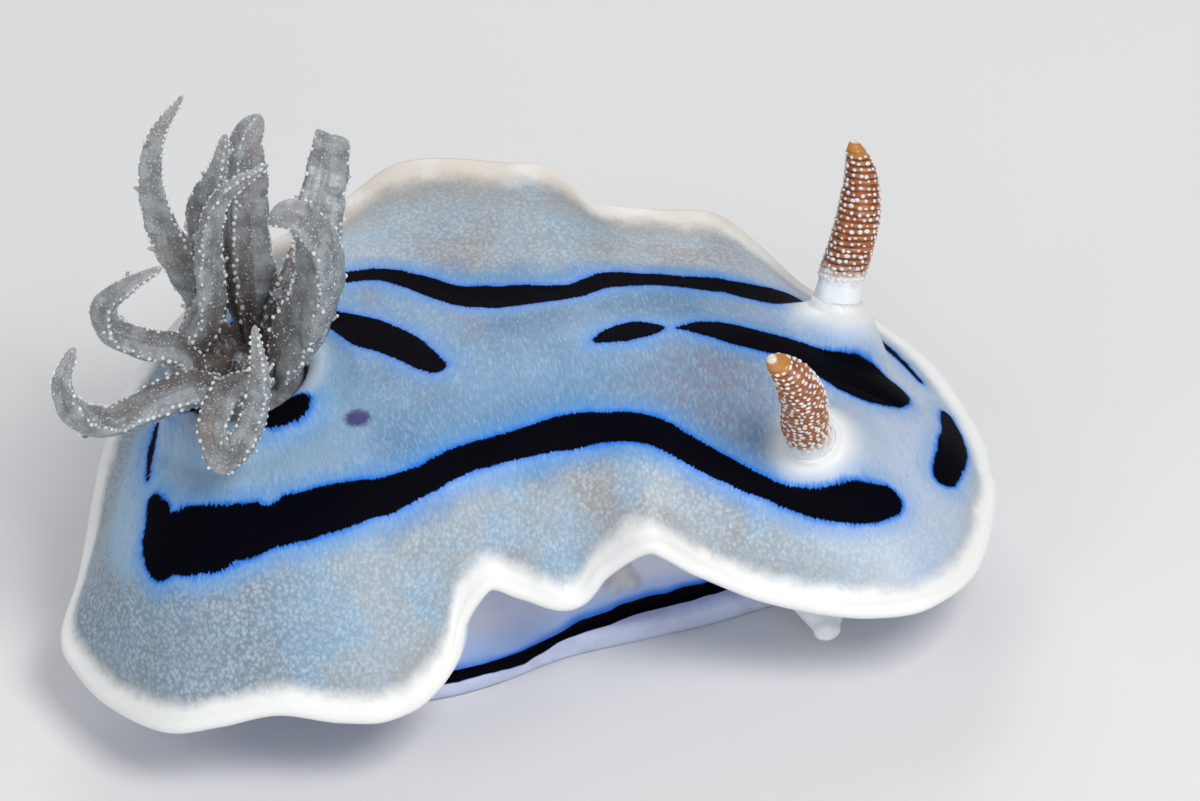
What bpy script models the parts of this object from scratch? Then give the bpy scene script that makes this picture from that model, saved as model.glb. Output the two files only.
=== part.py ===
"""A nudibranch, Chromodoris willani, as a still, life-size model resting on its foot.

Lengths are in millimetres, and MM turns them into Blender's metres. +X points to the head, +Y to
the animal's left and +Z up. The origin is on the flat sole of the foot, under the middle of the back.

The mantle hangs from a ridge line along the back. Profiles leave the ridge all round, pass over the
shoulder ring where the long side stripes run, and end at the ruffled margin. The head, trunk and foot
stand under it, and each node keeps GAP to the next.
"""
import math

import bmesh
import bpy
import numpy as np

MM = 0.001
GAP = 0.3

# The ridge of the back, tail to head: x, y and height.
RIDGE = (
    (-17.0, -0.2, 12.6),
    (-13.0, 1.3, 14.6),
    (-4.0, 1.0, 14.6),
    (4.0, 0.8, 14.4),
    (10.0, 0.2, 13.5),
    (15.0, -1.0, 11.2),
    (18.3, -1.8, 9.2),
)
# The shoulder ring from the snout round the left side to the tail and back: x, y and height.
SHOULDER = (
    (20.6, -2.6, 7.2),
    (19.3, 2.2, 7.7),
    (16.8, 5.8, 9.0),
    (13.5, 6.4, 11.0),
    (10.0, 6.6, 12.4),
    (5.7, 6.7, 13.4),
    (-0.7, 6.7, 13.8),
    (-4.0, 7.8, 14.3),
    (-7.4, 8.4, 15.0),
    (-12.5, 7.8, 14.2),
    (-17.0, 4.6, 12.2),
    (-20.2, -1.8, 9.8),
    (-17.2, -5.9, 11.7),
    (-14.2, -6.6, 12.6),
    (-9.4, -7.0, 13.5),
    (-5.4, -6.4, 13.5),
    (-0.8, -5.0, 13.5),
    (3.1, -4.6, 13.3),
    (6.1, -5.6, 12.9),
    (9.0, -7.2, 11.4),
    (12.4, -8.2, 9.6),
    (15.8, -8.0, 8.7),
    (18.8, -6.4, 7.8),
)
# The margin ring, each row with the x of the shoulder that it hangs from: that x, then x, y, height.
MARGIN = (
    (20.6, 22.25, -2.6, 5.3),
    (19.9, 22.1, 1.1, 5.6),
    (18.6, 20.85, 5.5, 6.3),
    (16.8, 18.3, 9.1, 7.1),
    (14.6, 15.8, 11.0, 8.0),
    (12.6, 13.7, 12.6, 10.1),
    (10.6, 12.0, 13.3, 11.5),
    (8.0, 8.6, 14.2, 11.9),
    (5.8, 5.9, 14.9, 12.6),
    (4.2, 4.4, 15.4, 14.3),
    (1.6, 1.7, 15.7, 15.1),
    (-3.2, -3.6, 16.9, 15.2),
    (-6.4, -6.7, 15.7, 14.3),
    (-12.0, -12.8, 13.4, 13.0),
    (-16.2, -18.0, 8.8, 11.4),
    (-18.4, -20.3, 5.4, 9.6),
    (-19.8, -22.5, 0.9, 5.9),
    (-20.2, -23.9, -2.2, 4.6),
    (-19.8, -23.4, -4.6, 4.1),
    (-18.6, -22.1, -7.4, 4.2),
    (-16.8, -19.8, -10.4, 4.8),
    (-14.6, -17.2, -11.5, 5.5),
    (-12.6, -14.4, -12.0, 6.0),
    (-10.4, -11.4, -12.8, 5.5),
    (-8.6, -9.2, -13.0, 5.3),
    (-7.0, -7.3, -12.1, 5.2),
    (-5.6, -5.8, -10.9, 6.1),
    (-4.6, -5.1, -9.8, 7.6),
    (-3.2, -3.6, -9.3, 9.1),
    (-1.4, -1.7, -9.4, 8.3),
    (0.4, 0.5, -8.9, 6.7),
    (2.0, 1.9, -8.8, 8.2),
    (4.0, 4.2, -9.7, 10.1),
    (6.6, 6.8, -10.2, 8.5),
    (9.6, 9.5, -10.8, 6.8),
    (12.4, 11.9, -11.6, 6.2),
    (15.0, 14.6, -12.1, 5.75),
    (17.2, 17.4, -11.9, 5.6),
    (18.8, 20.05, -9.4, 5.0),
    (20.0, 21.85, -5.2, 5.1),
)
RIM = 0.45
SHOULDER_SHARE = 0.45
THICK_MIDDLE = 3.0
THICK_RIM = 0.8

# The foot: the middle line and half width of the sole along x, and how far it spreads past the side.
FOOT_FRONT = 18.0
FOOT_BACK = -20.6
FOOT_HEIGHT = 1.3
FOOT_EDGE = 0.5
MIDDLE = (
    (-20.6, -1.4),
    (-13.0, 0.9),
    (-4.0, 1.0),
    (4.0, 0.8),
    (10.0, 0.2),
    (15.0, -1.0),
    (18.5, -2.0),
)
HALF_WIDTH = (
    (-20.6, 1.6),
    (-15.0, 5.6),
    (-7.0, 8.2),
    (-3.5, 7.6),
    (0.0, 6.5),
    (4.0, 6.1),
    (8.0, 5.7),
    (11.0, 5.0),
    (15.0, 4.4),
    (18.5, 3.9),
)
FLANGE = (
    (-20.6, 0.7),
    (-6.0, 0.5),
    (1.0, 0.7),
    (8.0, 1.5),
    (18.5, 1.1),
)
TRUNK_FRONT = 17.6
TRUNK_BACK = -16.8
WAIST = 0.7
WAIST_REACH = 3.0
HEAD_CUT = 11.0
TAIL_CUT = -13.5
TAIL_KEEL = 1.0
KEEL_SETBACK = 0.8

# The head is yawed to the animal's right, so its own forward and left directions are turned.
HEAD_YAW = -17.0

# Rhinophores: where each stands on the back, and how far it leans out and forward, in degrees.
RHINOPHORES = {
    "left": (16.15, 4.0, 1, 24.0, 8.0),
    "right": (13.4, -5.65, -1, 26.0, -7.0),
}
RHINOPHORE_LENGTH = 10.6
STALK_SHARE = 0.33
STALK_RADIUS = 1.12
CLUB_RADIUS = 1.15
LAMELLA_DEPTH = 0.14
LAMELLA_COUNT = 12
# How far each bends forward out of its axis: distance along the axis, then the shift.
RHINOPHORE_BEND = (
    (-0.6, 0.0),
    (3.0, 0.05),
    (5.0, 0.42),
    (6.7, 0.54),
    (8.5, 0.38),
    (10.0, -0.14),
)
SHEATH_BORE = 1.45
SHEATH_RADIUS = 1.85
SHEATH_RISE = 0.8
SHEATH_DEPTH = 0.9

# Gills: a ring of ten blades on a faceted base in a pocket.
GILL_X = -13.0
GILL_Y = 1.8
GILL_TILT = 10.0
POCKET_BORE = 3.1
POCKET_RADIUS = 4.0
POCKET_RISE = 0.8
POCKET_DEPTH = 1.5
GILL_BASE_RADIUS = 2.7
GILL_BASE_INNER = 1.25
GILL_BASE_SHOULDER = 0.1
GILL_BASE_TOP = 1.2
GILL_ROOT = 0.48
GILL_NECK = 1.2
GILL_COUNT = 10
LEAFLET_DEPTH = 0.16
LEAFLET_COUNT = 15
BLADE_REACH = 1.06

# Each blade, in order round the ring from the head over the left: its width, the share of the width
# that is left at the tip, then the points that it passes after its neck.
GILLS = (
    (1.5, 0.2, ((-10.3, 1.7, 18.6), (-11.2, 1.5, 20.2))),
    (2.7, 0.75, ((-9.0, 5.6, 19.2), (-8.3, 7.2, 20.8), (-7.5, 8.8, 21.9), (-7.2, 9.9, 22.2),
                 (-7.3, 10.8, 21.4))),
    (2.7, 0.4, ((-12.2, 6.4, 19.4), (-11.6, 8.0, 22.6), (-11.1, 8.5, 24.5), (-10.3, 8.9, 25.3))),
    (1.8, 0.15, ((-13.9, 5.8, 19.1), (-13.8, 6.7, 21.7), (-12.8, 6.2, 24.4), (-12.2, 6.2, 26.4))),
    (2.0, 0.12, ((-14.3, 4.4, 17.5), (-15.0, 5.2, 19.6), (-15.7, 5.8, 21.7), (-16.0, 6.2, 24.1),
                 (-15.4, 6.8, 26.5), (-13.9, 7.0, 28.5))),
    (1.9, 0.12, ((-14.4, 1.9, 19.6), (-14.1, 2.0, 22.8), (-13.0, 2.4, 25.5), (-10.5, 3.0, 26.5))),
    (2.0, 0.15, ((-16.3, 0.5, 18.1), (-18.2, 0.0, 19.5), (-19.2, 0.1, 20.3), (-19.3, 0.2, 21.7),
                 (-18.0, 0.6, 22.5), (-16.3, 1.0, 23.0))),
    (2.2, 0.2, ((-15.9, -1.8, 17.4), (-18.4, -2.5, 17.3), (-20.2, -3.0, 17.3), (-21.5, -3.4, 18.7),
                (-21.8, -3.1, 20.2), (-21.0, -2.6, 21.9))),
    (1.8, 0.15, ((-14.5, -3.1, 17.5), (-15.2, -4.6, 16.6), (-14.9, -5.4, 15.8), (-13.9, -5.3, 16.6),
                 (-12.8, -4.5, 18.6), (-12.5, -3.5, 22.1))),
    (3.1, 0.35, ((-9.8, -0.7, 19.6), (-8.9, -1.0, 22.7), (-9.1, -1.2, 24.9), (-10.0, -1.0, 26.1),
                 (-11.1, -0.6, 25.8))),
)

# The mouth: a ring of lips on the front of the head round an upright slit. The lumps of the genital
# opening are on the right side: x, height and radius of each.
MOUTH_BEARING = -8.0
MOUTH_SHARE = 0.62
LIP_RADIUS = 1.15
LIP_RISE = 0.55
MOUTH_LENGTH = 1.3
MOUTH_WIDTH = 0.3
GENITAL_LUMPS = (
    (3.0, 3.05, 0.5),
    (3.9, 2.9, 0.5),
    (3.5, 3.75, 0.6),
)

# Oral tentacles: short blunt cones beside the mouth. They aim ahead, aside and down by these shares.
TENTACLE_LENGTH = 3.6
TENTACLE_ROOT = 1.5
TENTACLE_TIP = 0.8
TENTACLE_MIDDLE = (13.8, -1.0, 3.2)
TENTACLE_SPREAD = 3.0
TENTACLE_BOSS = 1.4
TENTACLE_AIM = (0.25, 0.90, 0.36)

# How many mesh lines run over the mantle, and how far they shift to the long sides.
STATIONS = 92
STATION_SHIFT = 0.1
COLOURS = {
    "mantle": (0.50, 0.66, 0.86),
    "body": (0.62, 0.66, 0.80),
    "foot": (0.66, 0.76, 0.90),
    "gill": (0.62, 0.62, 0.62),
    "rhinophore": (0.72, 0.36, 0.18),
    "tentacle": (0.85, 0.87, 0.90),
}
ROUGHNESS = 0.35
SHARP_ANGLE = math.radians(45)


def unit(v):
    """Vectors of length one, along the last axis."""
    v = np.asarray(v, float)
    return v / np.maximum(np.linalg.norm(v, axis=-1, keepdims=True), 1e-12)


def hermite(t, start, end, slope_start, slope_end):
    """A cubic from start to end with the given slopes over the whole of t."""
    return (
        (2 * t**3 - 3 * t**2 + 1) * start
        + (t**3 - 2 * t**2 + t) * slope_start
        + (-2 * t**3 + 3 * t**2) * end
        + (t**3 - t**2) * slope_end
    )


def smooth(knots, rows, at):
    """A smooth curve through rows at rising knots, read at the given values."""
    knots = np.asarray(knots, float)
    rows = np.asarray(rows, float)
    step = np.diff(knots)
    rate = np.diff(rows, axis=0) / step[:, None]
    slope = np.empty_like(rows)
    slope[0] = rate[0]
    slope[-1] = rate[-1]
    weight = step[:-1] + step[1:]
    slope[1:-1] = (rate[:-1] * step[1:, None] + rate[1:] * step[:-1, None]) / weight[:, None]
    i = np.clip(np.searchsorted(knots, at, side="right") - 1, 0, len(step) - 1)
    width = step[i][:, None]
    t = (np.asarray(at, float)[:, None] - knots[i][:, None]) / width
    return hermite(t, rows[i], rows[i + 1], slope[i] * width, slope[i + 1] * width)


def round_ring(bearings, rows, at):
    """A closed smooth curve through rows at bearings, read at the bearings of at."""
    turn = 2 * math.pi
    knots = np.concatenate([bearings - turn, bearings, bearings + turn])
    return smooth(knots, np.concatenate([rows] * 3), at)


def ring_bearings(x):
    """Bearings for rows listed from the snout over the left side, from the x of their shoulder."""
    front, back = SHOULDER[0][0], min(row[0] for row in SHOULDER)
    cosine = (x - (front + back) / 2) / ((front - back) / 2)
    bearing = np.arccos(np.clip(cosine, -1, 1))
    last_left = int(np.argmin(x))
    bearing[last_left + 1:] = 2 * math.pi - bearing[last_left + 1:]
    return bearing


def station_bearings():
    """The bearings of the mesh lines, closer together on the long sides than at head and tail."""
    even = np.arange(STATIONS) * 2 * math.pi / STATIONS
    return even + STATION_SHIFT * np.sin(2 * even)


def back_profiles(bearings, shares):
    """Points of the mantle's upper face: one row per share of the way out, one column per bearing."""
    ridge_rows = np.array(RIDGE)
    shoulder_rows = np.array(SHOULDER)
    margin_rows = np.array(MARGIN)
    low, high = ridge_rows[0, 0], ridge_rows[-1, 0]
    ridge = smooth(ridge_rows[:, 0], ridge_rows, (low + high) / 2 + (high - low) / 2 * np.cos(bearings))
    shoulder = round_ring(ring_bearings(shoulder_rows[:, 0]), shoulder_rows, bearings)
    margin = round_ring(ring_bearings(margin_rows[:, 0]), margin_rows[:, 1:], bearings)
    inner, outer = SHOULDER_SHARE, 1 - SHOULDER_SHARE
    leave_ridge = (shoulder - ridge) * (1.15, 1.15, 0) / inner
    cross = (shoulder - ridge) / inner * outer + (margin - shoulder) / outer * inner
    reach_rim = (margin - shoulder) * (1, 1, 0.5) / outer
    rows = []
    for share in shares:
        if share <= inner:
            rows.append(hermite(share / inner, ridge, shoulder, leave_ridge * inner, cross * inner))
        else:
            t = (share - inner) / outer
            rows.append(hermite(t, shoulder, margin, cross * outer, reach_rim * outer))
    return np.array(rows)


def face_normals(rows):
    """Outward normals of a sheet of profiles, whose first row is the ridge and turns back on itself."""
    along = np.roll(rows, -1, axis=1) - np.roll(rows, 1, axis=1)
    out = np.gradient(rows, axis=0)
    normals = unit(np.cross(out, along))
    mirror = (-np.arange(rows.shape[1])) % rows.shape[1]
    normals[0] = unit(normals[1] + normals[1][mirror])
    return normals


def thickness(shares):
    """How thick the mantle is at each share of the way from ridge to rim."""
    t = np.clip((np.asarray(shares, float) - 0.1) / 0.5, 0, 1)
    t = t * t * (3 - 2 * t)
    return THICK_MIDDLE + (THICK_RIM - THICK_MIDDLE) * t


def inward(normals, shares):
    """Directions from the upper to the under face: straight down over the body, and square to the
    surface on the skirt."""
    t = np.clip((np.asarray(shares, float) - SHOULDER_SHARE) / (1 - SHOULDER_SHARE), 0, 1)[:, None, None]
    return unit((1 - t) * np.array([0.0, 0.0, -1.0]) - t * normals)


def node_material(name, colour):
    """A Principled material in the node's own colour."""
    material = bpy.data.materials.new(name)
    material.use_nodes = True
    shader = material.node_tree.nodes["Principled BSDF"]
    shader.inputs["Base Color"].default_value = (*colour, 1)
    shader.inputs["Roughness"].default_value = ROUGHNESS
    shader.inputs["Metallic"].default_value = 0
    return material


def add_object(name, points, faces, colour):
    """An object in the scene from points in millimetres."""
    mesh = bpy.data.meshes.new(name)
    mesh.from_pydata((np.asarray(points) * MM).tolist(), [], faces)
    mesh.validate()
    mesh.shade_smooth()
    mesh.materials.append(node_material(name, COLOURS[colour]))
    thing = bpy.data.objects.new(name, mesh)
    bpy.context.collection.objects.link(thing)
    return thing


def ring_solid(name, sheets, colour, turned_from):
    """One closed body from rings of points. The first and last ring fold flat onto a line, where the
    station i meets the station count - i. From the ring turned_from on, quads split the other way, so
    that the two faces of a thin wall are cut into triangles alike."""
    count = sheets[0].shape[0]
    half = count // 2
    fold = [i if i <= half else count - i for i in range(count)]
    points = [sheets[0][: half + 1]]
    index = [fold]
    offset = half + 1
    for sheet in sheets[1:-1]:
        points.append(sheet)
        index.append([offset + i for i in range(count)])
        offset += count
    points.append(sheets[-1][: half + 1])
    index.append([offset + i for i in fold])
    faces = []
    for k in range(len(index) - 1):
        inner, outer = index[k], index[k + 1]
        for i in range(count):
            j = (i + 1) % count
            quad = (inner[i], outer[i], outer[j], inner[j])
            if k < turned_from:
                faces += [(quad[0], quad[1], quad[2]), (quad[0], quad[2], quad[3])]
            else:
                faces += [(quad[0], quad[1], quad[3]), (quad[1], quad[2], quad[3])]
    return add_object(name, np.concatenate(points), faces, colour)


def tube_solid(name, sections, colour, pointed):
    """One closed body lofted through sections of equal count, with a flat first cap and either a flat
    last cap or a single point at the end."""
    count = len(sections[0])
    points = [p for section in sections for p in section]
    faces = [tuple(reversed(range(count)))]
    for k in range(len(sections) - 1):
        for i in range(count):
            j = (i + 1) % count
            a, b = k * count + i, k * count + j
            c, d = a + count, b + count
            faces += [(a, b, d), (a, d, c)]
    last = (len(sections) - 1) * count
    if pointed is None:
        faces.append(tuple(last + i for i in range(count)))
    else:
        points.append(pointed)
        faces += [(last + i, last + (i + 1) % count, last + count) for i in range(count)]
    return add_object(name, points, faces, colour)


def largest_shell(thing):
    """Keeps only the largest closed surface of a mesh."""
    body = bmesh.new()
    body.from_mesh(thing.data)
    left = set(body.faces)
    shells = []
    while left:
        stack = [left.pop()]
        shell = set(stack)
        while stack:
            for edge in stack.pop().edges:
                for face in edge.link_faces:
                    if face in left:
                        left.discard(face)
                        shell.add(face)
                        stack.append(face)
        shells.append(shell)
    keep = max(shells, key=lambda shell: sum(face.calc_area() for face in shell))
    extra = [face for shell in shells if shell is not keep for face in shell]
    bmesh.ops.delete(body, geom=extra, context="FACES")
    body.to_mesh(thing.data)
    body.free()


def combine(thing, others, operation):
    """Applies one Boolean of other closed objects to thing, and removes them."""
    group = bpy.data.collections.new(thing.name + "_" + operation.lower())
    bpy.context.scene.collection.children.link(group)
    for other in others:
        bpy.context.collection.objects.unlink(other)
        group.objects.link(other)
        other.hide_render = True
        other.display_type = "WIRE"
    modifier = thing.modifiers.new("Boolean", "BOOLEAN")
    modifier.operation = operation
    modifier.operand_type = "COLLECTION"
    modifier.collection = group
    modifier.solver = "EXACT"
    bpy.context.view_layer.update()
    graph = bpy.context.evaluated_depsgraph_get()
    result = bpy.data.meshes.new_from_object(thing.evaluated_get(graph))
    thing.modifiers.clear()
    thing.data = result
    for other in others:
        bpy.data.objects.remove(other)
    bpy.data.collections.remove(group)
    largest_shell(thing)
    thing.data.set_sharp_from_angle(angle=SHARP_ANGLE)


def keep_side(thing, plane_point, plane_normal):
    """Cuts a closed mesh by a plane and keeps the side that the normal points to, with a flat cap."""
    body = bmesh.new()
    body.from_mesh(thing.data)
    geometry = body.verts[:] + body.edges[:] + body.faces[:]
    cut = bmesh.ops.bisect_plane(
        body, geom=geometry, dist=1e-7, plane_co=np.array(plane_point) * MM,
        plane_no=plane_normal, clear_inner=True,
    )
    edges = [item for item in cut["geom_cut"] if isinstance(item, bmesh.types.BMEdge)]
    bmesh.ops.edgenet_fill(body, edges=edges)
    bmesh.ops.triangulate(body, faces=body.faces[:])
    bmesh.ops.recalc_face_normals(body, faces=body.faces[:])
    body.to_mesh(thing.data)
    body.free()


def frame_about(axis):
    """Two directions square to an axis and to each other."""
    axis = unit(axis)
    side = unit(np.cross(axis, (0.0, 1.0, 0.0) if abs(axis[1]) < 0.9 else (1.0, 0.0, 0.0)))
    return side, np.cross(axis, side)


def turned_sections(origin, axis, profile, count):
    """Round sections about an axis, from (distance along it, radius) pairs."""
    side, other = frame_about(axis)
    angles = np.arange(count) * 2 * math.pi / count
    round_points = np.cos(angles)[:, None] * side + np.sin(angles)[:, None] * other
    return [origin + unit(axis) * along + radius * round_points for along, radius in profile]


def mantle_sheets():
    """The rings of the mantle's closed wall, and its upper face with normals and thickness."""
    bearings = station_bearings()
    shares = np.concatenate([np.linspace(0, SHOULDER_SHARE, 6)[:-1], np.linspace(SHOULDER_SHARE, 1, 7)])
    upper = back_profiles(bearings, shares)
    normals = face_normals(upper)
    under = upper + inward(normals, shares) * thickness(shares)[:, None, None]
    out = unit(upper[-1] - upper[-2])
    middle = (upper[-1] + under[-1]) / 2
    half = (upper[-1] - under[-1]) / 2
    rim = []
    for angle in (50, 90, 130):
        a = math.radians(angle)
        rim.append(middle + half * math.cos(a) + out * RIM * math.sin(a))
    return [*upper, *rim, *under[::-1]], upper, normals, len(upper)


def on_back(x, y, upper, normals):
    """The point and normal of the mantle's upper face nearest to x and y."""
    flat = upper.reshape(-1, 3)
    distance = np.hypot(flat[:, 0] - x, flat[:, 1] - y)
    near = np.argsort(distance, kind="stable")[:6]
    weight = 1 / (distance[near] + 0.05)
    weight = weight / weight.sum()
    normal = unit((normals.reshape(-1, 3)[near] * weight[:, None]).sum(axis=0))
    middle = (flat[near] * weight[:, None]).sum(axis=0)
    height = middle[2] - ((x - middle[0]) * normal[0] + (y - middle[1]) * normal[1]) / normal[2]
    return np.array([x, y, height]), normal


def head_directions():
    """Forward and left of the head."""
    yaw = math.radians(HEAD_YAW)
    return np.array([math.cos(yaw), math.sin(yaw), 0.0]), np.array([-math.sin(yaw), math.cos(yaw), 0.0])


def rhinophore_places(upper, normals):
    """For each rhinophore, the point of the back that it stands on and its axis."""
    forward, left = head_directions()
    places = {}
    for side, (x, y, sign, out, ahead) in RHINOPHORES.items():
        axis = unit(
            np.array([0.0, 0.0, 1.0])
            + sign * math.tan(math.radians(out)) * left
            + math.tan(math.radians(ahead)) * forward
        )
        places[side] = (on_back(x, y, upper, normals)[0], axis)
    return places


def gill_place(upper, normals):
    """The middle of the gill pocket on the back and its axis, tilted to the tail."""
    tilt = math.radians(GILL_TILT)
    return on_back(GILL_X, GILL_Y, upper, normals)[0], np.array([-math.sin(tilt), 0.0, math.cos(tilt)])


def collar(name, origin, axis, radius, bore, rise, spread):
    """A low rounded boss that will carry a pocket, with a foot that spreads over the back."""
    middle = (radius + bore) / 2
    profile = (
        (-rise * 0.8, radius + spread * 0.5),
        (rise * 0.1, radius + spread),
        (rise * 0.55, radius + spread * 0.3),
        (rise * 0.92, radius - (radius - middle) * 0.4),
        (rise, middle),
    )
    return tube_solid(name, turned_sections(origin, axis, profile, 24), "mantle", None)


def pocket(name, origin, axis, bore, rise, depth):
    """The cutter of a round pocket."""
    profile = ((-depth, bore), (rise + 1.0, bore))
    return tube_solid(name, turned_sections(origin, axis, profile, 24), "mantle", None)


def make_mantle():
    """The mantle with the collars and pockets of the rhinophores and the gills. Returns where these
    stand."""
    sheets, upper, normals, turn = mantle_sheets()
    mantle = ring_solid("mantle", sheets, "mantle", turn + 1)
    places = rhinophore_places(upper, normals)
    gill_origin, gill_axis = gill_place(upper, normals)
    bosses = [collar("gill_rim", gill_origin, gill_axis, POCKET_RADIUS, POCKET_BORE, POCKET_RISE, 0.3)]
    holes = [pocket("gill_pocket", gill_origin, gill_axis, POCKET_BORE, POCKET_RISE, POCKET_DEPTH)]
    for side, (origin, axis) in places.items():
        bosses.append(
            collar("sheath_" + side, origin, axis, SHEATH_RADIUS, SHEATH_BORE, SHEATH_RISE, 0.5))
        holes.append(pocket("hole_" + side, origin, axis, SHEATH_BORE, SHEATH_RISE, SHEATH_DEPTH))
    combine(mantle, bosses, "UNION")
    combine(mantle, holes, "DIFFERENCE")
    return places, gill_origin, gill_axis


def foot_line(x, rows):
    """A value along the foot from rows that start with x."""
    rows = np.array(rows)
    return smooth(rows[:, 0], rows[:, 1:], x)[:, 0]


def foot_ring(bearings, front, back, flange):
    """The outline of the sole, or of the body on it, which is drawn in by a share of the flange."""
    x = (front + back) / 2 + (front - back) / 2 * np.cos(bearings)
    middle = foot_line(x, MIDDLE)
    width = foot_line(x, HALF_WIDTH) - flange * foot_line(x, FLANGE)
    sine = np.sin(bearings)
    y = middle + width * np.sign(sine) * np.abs(sine) ** 0.6
    return np.stack([x, y, np.zeros_like(x)], axis=1), middle


def middle_line(bearings, front, back, height):
    """The line along the middle of the foot on which a ring folds shut."""
    x = (front + back) / 2 + (front - back) / 2 * np.cos(bearings)
    return np.stack([x, foot_line(x, MIDDLE), np.full(len(x), height)], axis=1)


def body_sheets(bearings, wall_shares):
    """The rings of the body under the mantle: its top, its side wall and its floor."""
    ahead = np.clip(np.cos(bearings), 0, 1) ** 4
    behind = np.clip(-np.cos(bearings), 0, 1) ** 4
    joint = 0.40 - 0.14 * ahead - 0.30 * behind
    shares = np.linspace(0, SHOULDER_SHARE, 24)
    upper = back_profiles(bearings, shares)
    inside = upper + inward(face_normals(upper), shares) * (thickness(shares)[:, None, None] + GAP)
    columns = np.arange(len(bearings))
    top = []
    for t in np.linspace(0, 1, 5):
        place = t * joint / SHOULDER_SHARE * (len(shares) - 1)
        low = np.clip(place.astype(int), 0, len(shares) - 2)
        part = (place - low)[:, None]
        top.append(inside[low, columns] * (1 - part) + inside[low + 1, columns] * part)
    base, middle = foot_ring(bearings, TRUNK_FRONT, TRUNK_BACK, 1.0)
    base = base + (0, 0, FOOT_HEIGHT + GAP)
    outward = np.clip((base[:, 1] - middle) / WAIST_REACH, -1, 1)[:, None] * np.array([0.0, 1.0, 0.0])
    wall = []
    for t in wall_shares:
        waist = WAIST * math.sin(math.pi * t)
        wall.append(top[-1] * (1 - t) + base * t - outward * waist)
    floor = middle_line(bearings, TRUNK_FRONT - 2.0, TRUNK_BACK + 2.0, FOOT_HEIGHT + GAP)
    return top, wall, [base, (base + floor) / 2, floor]


def on_wall(wall, station, ring):
    """The point of the side wall at a station and ring, and its outward normal."""
    along = wall[ring][(station + 1) % len(wall[ring])] - wall[ring][station - 1]
    down = wall[ring + 1][station] - wall[ring - 1][station]
    return wall[ring][station], unit(np.cross(down, along))


def make_body():
    """Head and trunk: one form under the mantle, parted by a thin cut. The head has its lips and
    mouth, the trunk the lumps of the genital opening."""
    bearings = station_bearings()
    top, wall, floor = body_sheets(bearings, (0.2, 0.4, 0.6, 0.8))
    sheets = [*top, *wall, *floor]
    head = ring_solid("head", sheets, "body", len(sheets))
    trunk = ring_solid("trunk", sheets, "body", len(sheets))
    keep_side(head, (HEAD_CUT + GAP / 2, 0, 0), (1, 0, 0))
    keep_side(trunk, (HEAD_CUT - GAP / 2, 0, 0), (-1, 0, 0))

    fine = np.radians(np.arange(360.0))
    fine_wall = np.array(body_sheets(fine, np.linspace(0.02, 0.98, 97))[1])
    lips, facing = on_wall(fine_wall, int(MOUTH_BEARING), int(MOUTH_SHARE * len(fine_wall)))
    profile = ((-1.0, LIP_RADIUS), (0.0, LIP_RADIUS), (LIP_RISE * 0.6, LIP_RADIUS * 0.86),
               (LIP_RISE, LIP_RADIUS * 0.5))
    combine(head, [tube_solid("lips", turned_sections(lips, facing, profile, 16), "body", None)], "UNION")
    combine(head, [slit("mouth", lips, facing)], "DIFFERENCE")

    right = fine_wall[:, 180:].reshape(-1, 3)
    lumps = []
    for x, height, radius in GENITAL_LUMPS:
        near = int(np.argmin(np.hypot(right[:, 0] - x, right[:, 2] - height)))
        ring, station = divmod(near, 180)
        place, facing = on_wall(fine_wall, station + 180, max(1, min(ring, len(fine_wall) - 2)))
        profile = ((-0.8, radius), (0.0, radius), (radius * 0.5, radius * 0.8))
        sections = turned_sections(place, facing, profile, 10)
        lumps.append(tube_solid("lump", sections, "body", place + facing * radius * 0.75))
    combine(trunk, lumps, "UNION")
    return head


def slit(name, place, facing):
    """The cutter of the mouth: an upright slit in the lips."""
    across = unit(np.cross((0.0, 0.0, 1.0), facing))
    tall = np.cross(facing, across)
    corners = ((-1, -1), (1, -1), (1, 1), (-1, 1))
    sections = []
    for depth in (-LIP_RISE * 0.5, LIP_RISE * 2):
        sections.append([
            place + facing * depth + across * a * MOUTH_WIDTH / 2 + tall * b * MOUTH_LENGTH / 2
            for a, b in corners
        ])
    return tube_solid(name, sections, "body", None)


def make_foot():
    """The flat sole with its rounded flange, and behind a thin cut the tail with its keel."""
    bearings = station_bearings()
    edge, _ = foot_ring(bearings, FOOT_FRONT, FOOT_BACK, 0.0)
    line = middle_line(bearings, FOOT_FRONT - 2.0, FOOT_BACK + 1.0, 0.0)

    def ring(share, height):
        flat = line + (edge - line) * share
        keel_start = TRUNK_BACK - KEEL_SETBACK
        t = np.clip((flat[:, 0] - keel_start) / (FOOT_BACK - keel_start), 0, 1)
        keel = TAIL_KEEL * np.sin(math.pi * t) ** 2 * (1 - share) ** 0.7
        flat[:, 2] += height + keel * (height > 0)
        return flat

    sheets = [
        ring(0.0, FOOT_HEIGHT), ring(0.4, FOOT_HEIGHT), ring(0.75, FOOT_HEIGHT),
        ring(0.93, FOOT_HEIGHT - 0.15), ring(0.98, FOOT_HEIGHT - 0.4), ring(1.0, FOOT_EDGE),
        ring(0.985, 0.15), ring(0.95, 0.0), ring(0.6, 0.0), ring(0.0, 0.0),
    ]
    foot = ring_solid("foot", sheets, "foot", len(sheets))
    tail = ring_solid("tail", sheets, "foot", len(sheets))
    keep_side(foot, (TAIL_CUT + GAP / 2, 0, 0), (1, 0, 0))
    keep_side(tail, (TAIL_CUT - GAP / 2, 0, 0), (-1, 0, 0))


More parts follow.
